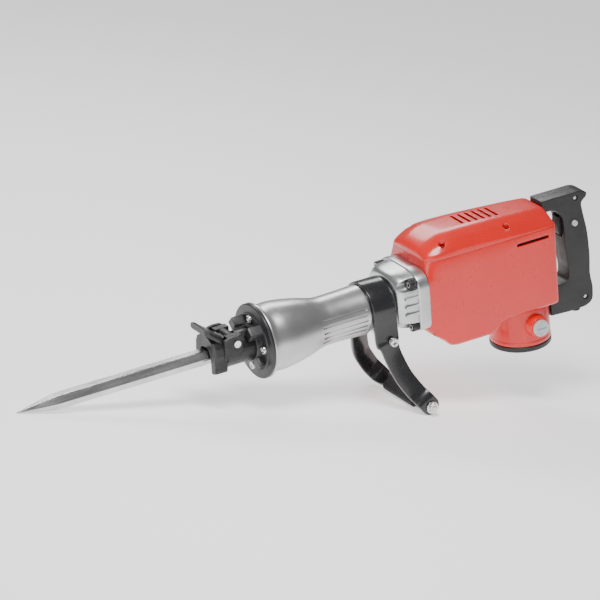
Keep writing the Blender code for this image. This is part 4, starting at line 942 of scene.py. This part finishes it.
CARRIED = {
    "tool_holder": "dark_steel", "retainer_lever": "dark_steel", "retainer_pin": "zinc", "damper_ring": "rubber",
    "cylinder_liner": "steel", "impact_bolt": "steel", "striker": "steel", "piston": "steel", "piston_pin": "steel",
    "connecting_rod": "steel", "crankshaft": "steel", "crank_gear": "steel", "idler_gear": "steel",
    "layshaft": "steel", "armature": "copper", "stator": "iron", "fan": "plastic", "motor_bearing_top": "steel",
    "motor_bearing_low": "steel", "crank_bearing": "steel", "brush_near": "carbon", "brush_far": "carbon",
    "switch_block": "grey", "tail_screw_near": "zinc", "tail_screw_far": "zinc",
}


def finish_carried():
    """Give the CAD nodes that are kept as they are their finish."""
    for name, finish_name in CARRIED.items():
        node = frame["nodes"][name]
        node.data.materials.clear()
        node.data.materials.append(M[finish_name])


# ---------------------------------------------------------------- stage

FLOOR_SIZE = 12.0
FLOOR_GREY = 0.90
FLOOR_GLOW = 0.75
WORLD_LIGHT = 0.26
LIGHTS = (
    ("key", (-0.6, -0.7, 1.9), (1.0, 0.7), 48.0),
    ("fill", (-1.6, -1.8, 0.5), (1.2, 0.9), 9.0),
    ("rim", (0.3, 1.6, 1.5), (1.6, 0.6), 22.0),
)


def make_stage():
    """Plain pale floor, pale surroundings and soft studio lights."""
    floor = bpy.data.materials.new("studio_floor")
    floor.use_nodes = True
    shader = floor.node_tree.nodes["Principled BSDF"]
    shader.inputs["Base Color"].default_value = (FLOOR_GREY, FLOOR_GREY, FLOOR_GREY, 1.0)
    shader.inputs["Roughness"].default_value = 0.9
    shader.inputs["Emission Color"].default_value = (1.0, 1.0, 1.0, 1.0)
    shader.inputs["Emission Strength"].default_value = FLOOR_GLOW
    bm = bmesh.new()
    bmesh.ops.create_grid(bm, x_segments=2, y_segments=2, size=FLOOR_SIZE)
    mesh = bpy.data.meshes.new("studio_floor")
    bm.to_mesh(mesh)
    bm.free()
    mesh.materials.append(floor)
    obj = bpy.data.objects.new("studio_floor", mesh)
    bpy.context.scene.collection.objects.link(obj)
    obj.location.z = CAD_BOX[0][2]

    world = bpy.data.worlds.new("studio")
    world.use_nodes = True
    world.node_tree.nodes["Background"].inputs["Color"].default_value = (1.0, 1.0, 1.0, 1.0)
    world.node_tree.nodes["Background"].inputs["Strength"].default_value = WORLD_LIGHT
    bpy.context.scene.world = world
    middle = (Vector(CAD_BOX[0]) + Vector(CAD_BOX[1])) / 2
    for name, place, size, power in LIGHTS:
        lamp = bpy.data.lights.new(name, "AREA")
        lamp.shape = "RECTANGLE"
        lamp.size, lamp.size_y = size
        lamp.energy = power
        light = bpy.data.objects.new(name, lamp)
        bpy.context.scene.collection.objects.link(light)
        light.location = middle + Vector(place)
        light.rotation_euler = (middle - light.location).to_track_quat("-Z", "Y").to_euler()


# The camera in the tool frame: its direction, roll and distance in millimetres. SCALE is the number of frame steps,
# FRAME_SIDE of them across, that a millimetre covers at the hammer axis.
CAMERA_AZIMUTH = radians(29.0)
CAMERA_ELEVATION = radians(23.562)
CAMERA_ROLL = radians(4.225)
CAMERA_DISTANCE = 8000.0
FRAME_SIDE = 600.0
SCALE = 0.629
CENTRE_OFFSET = ((300.0 - 253.353) / SCALE, (341.396 - 300.0) / SCALE)


def make_camera():
    """Camera at the viewing angle, aimed beside the tool frame's origin."""
    a, e, r = CAMERA_AZIMUTH, CAMERA_ELEVATION, CAMERA_ROLL
    ahead = Vector((sin(a) * cos(e), cos(a) * cos(e), -sin(e)))
    right = Vector((cos(a), -sin(a), 0.0))
    up = right.cross(ahead)
    rolled_right = right * cos(r) - up * sin(r)
    rolled_up = right * sin(r) + up * cos(r)
    place = rolled_right * CENTRE_OFFSET[0] + rolled_up * CENTRE_OFFSET[1] - ahead * CAMERA_DISTANCE
    matrix = Matrix((rolled_right, rolled_up, -ahead)).transposed().to_4x4()
    matrix.translation = place * MM
    data = bpy.data.cameras.new("camera")
    data.sensor_width = 36.0
    data.lens = 36.0 * SCALE * CAMERA_DISTANCE / FRAME_SIDE
    data.clip_end = 100.0
    camera = bpy.data.objects.new("camera", data)
    camera.matrix_world = STANCE @ matrix
    bpy.context.scene.collection.objects.link(camera)
    bpy.context.scene.camera = camera


def main():
    """Build every piece, the stage and the camera."""
    finish_carried()
    make_bull_point()
    make_front_cover()
    make_barrel()
    make_crankcase()
    make_gear_housing()
    make_top_cover()
    make_motor_housing()
    make_tail_cover()
    make_rear_handle()
    make_side_handle()
    make_stage()
    make_camera()


main()
bpy.context.view_layer.update()
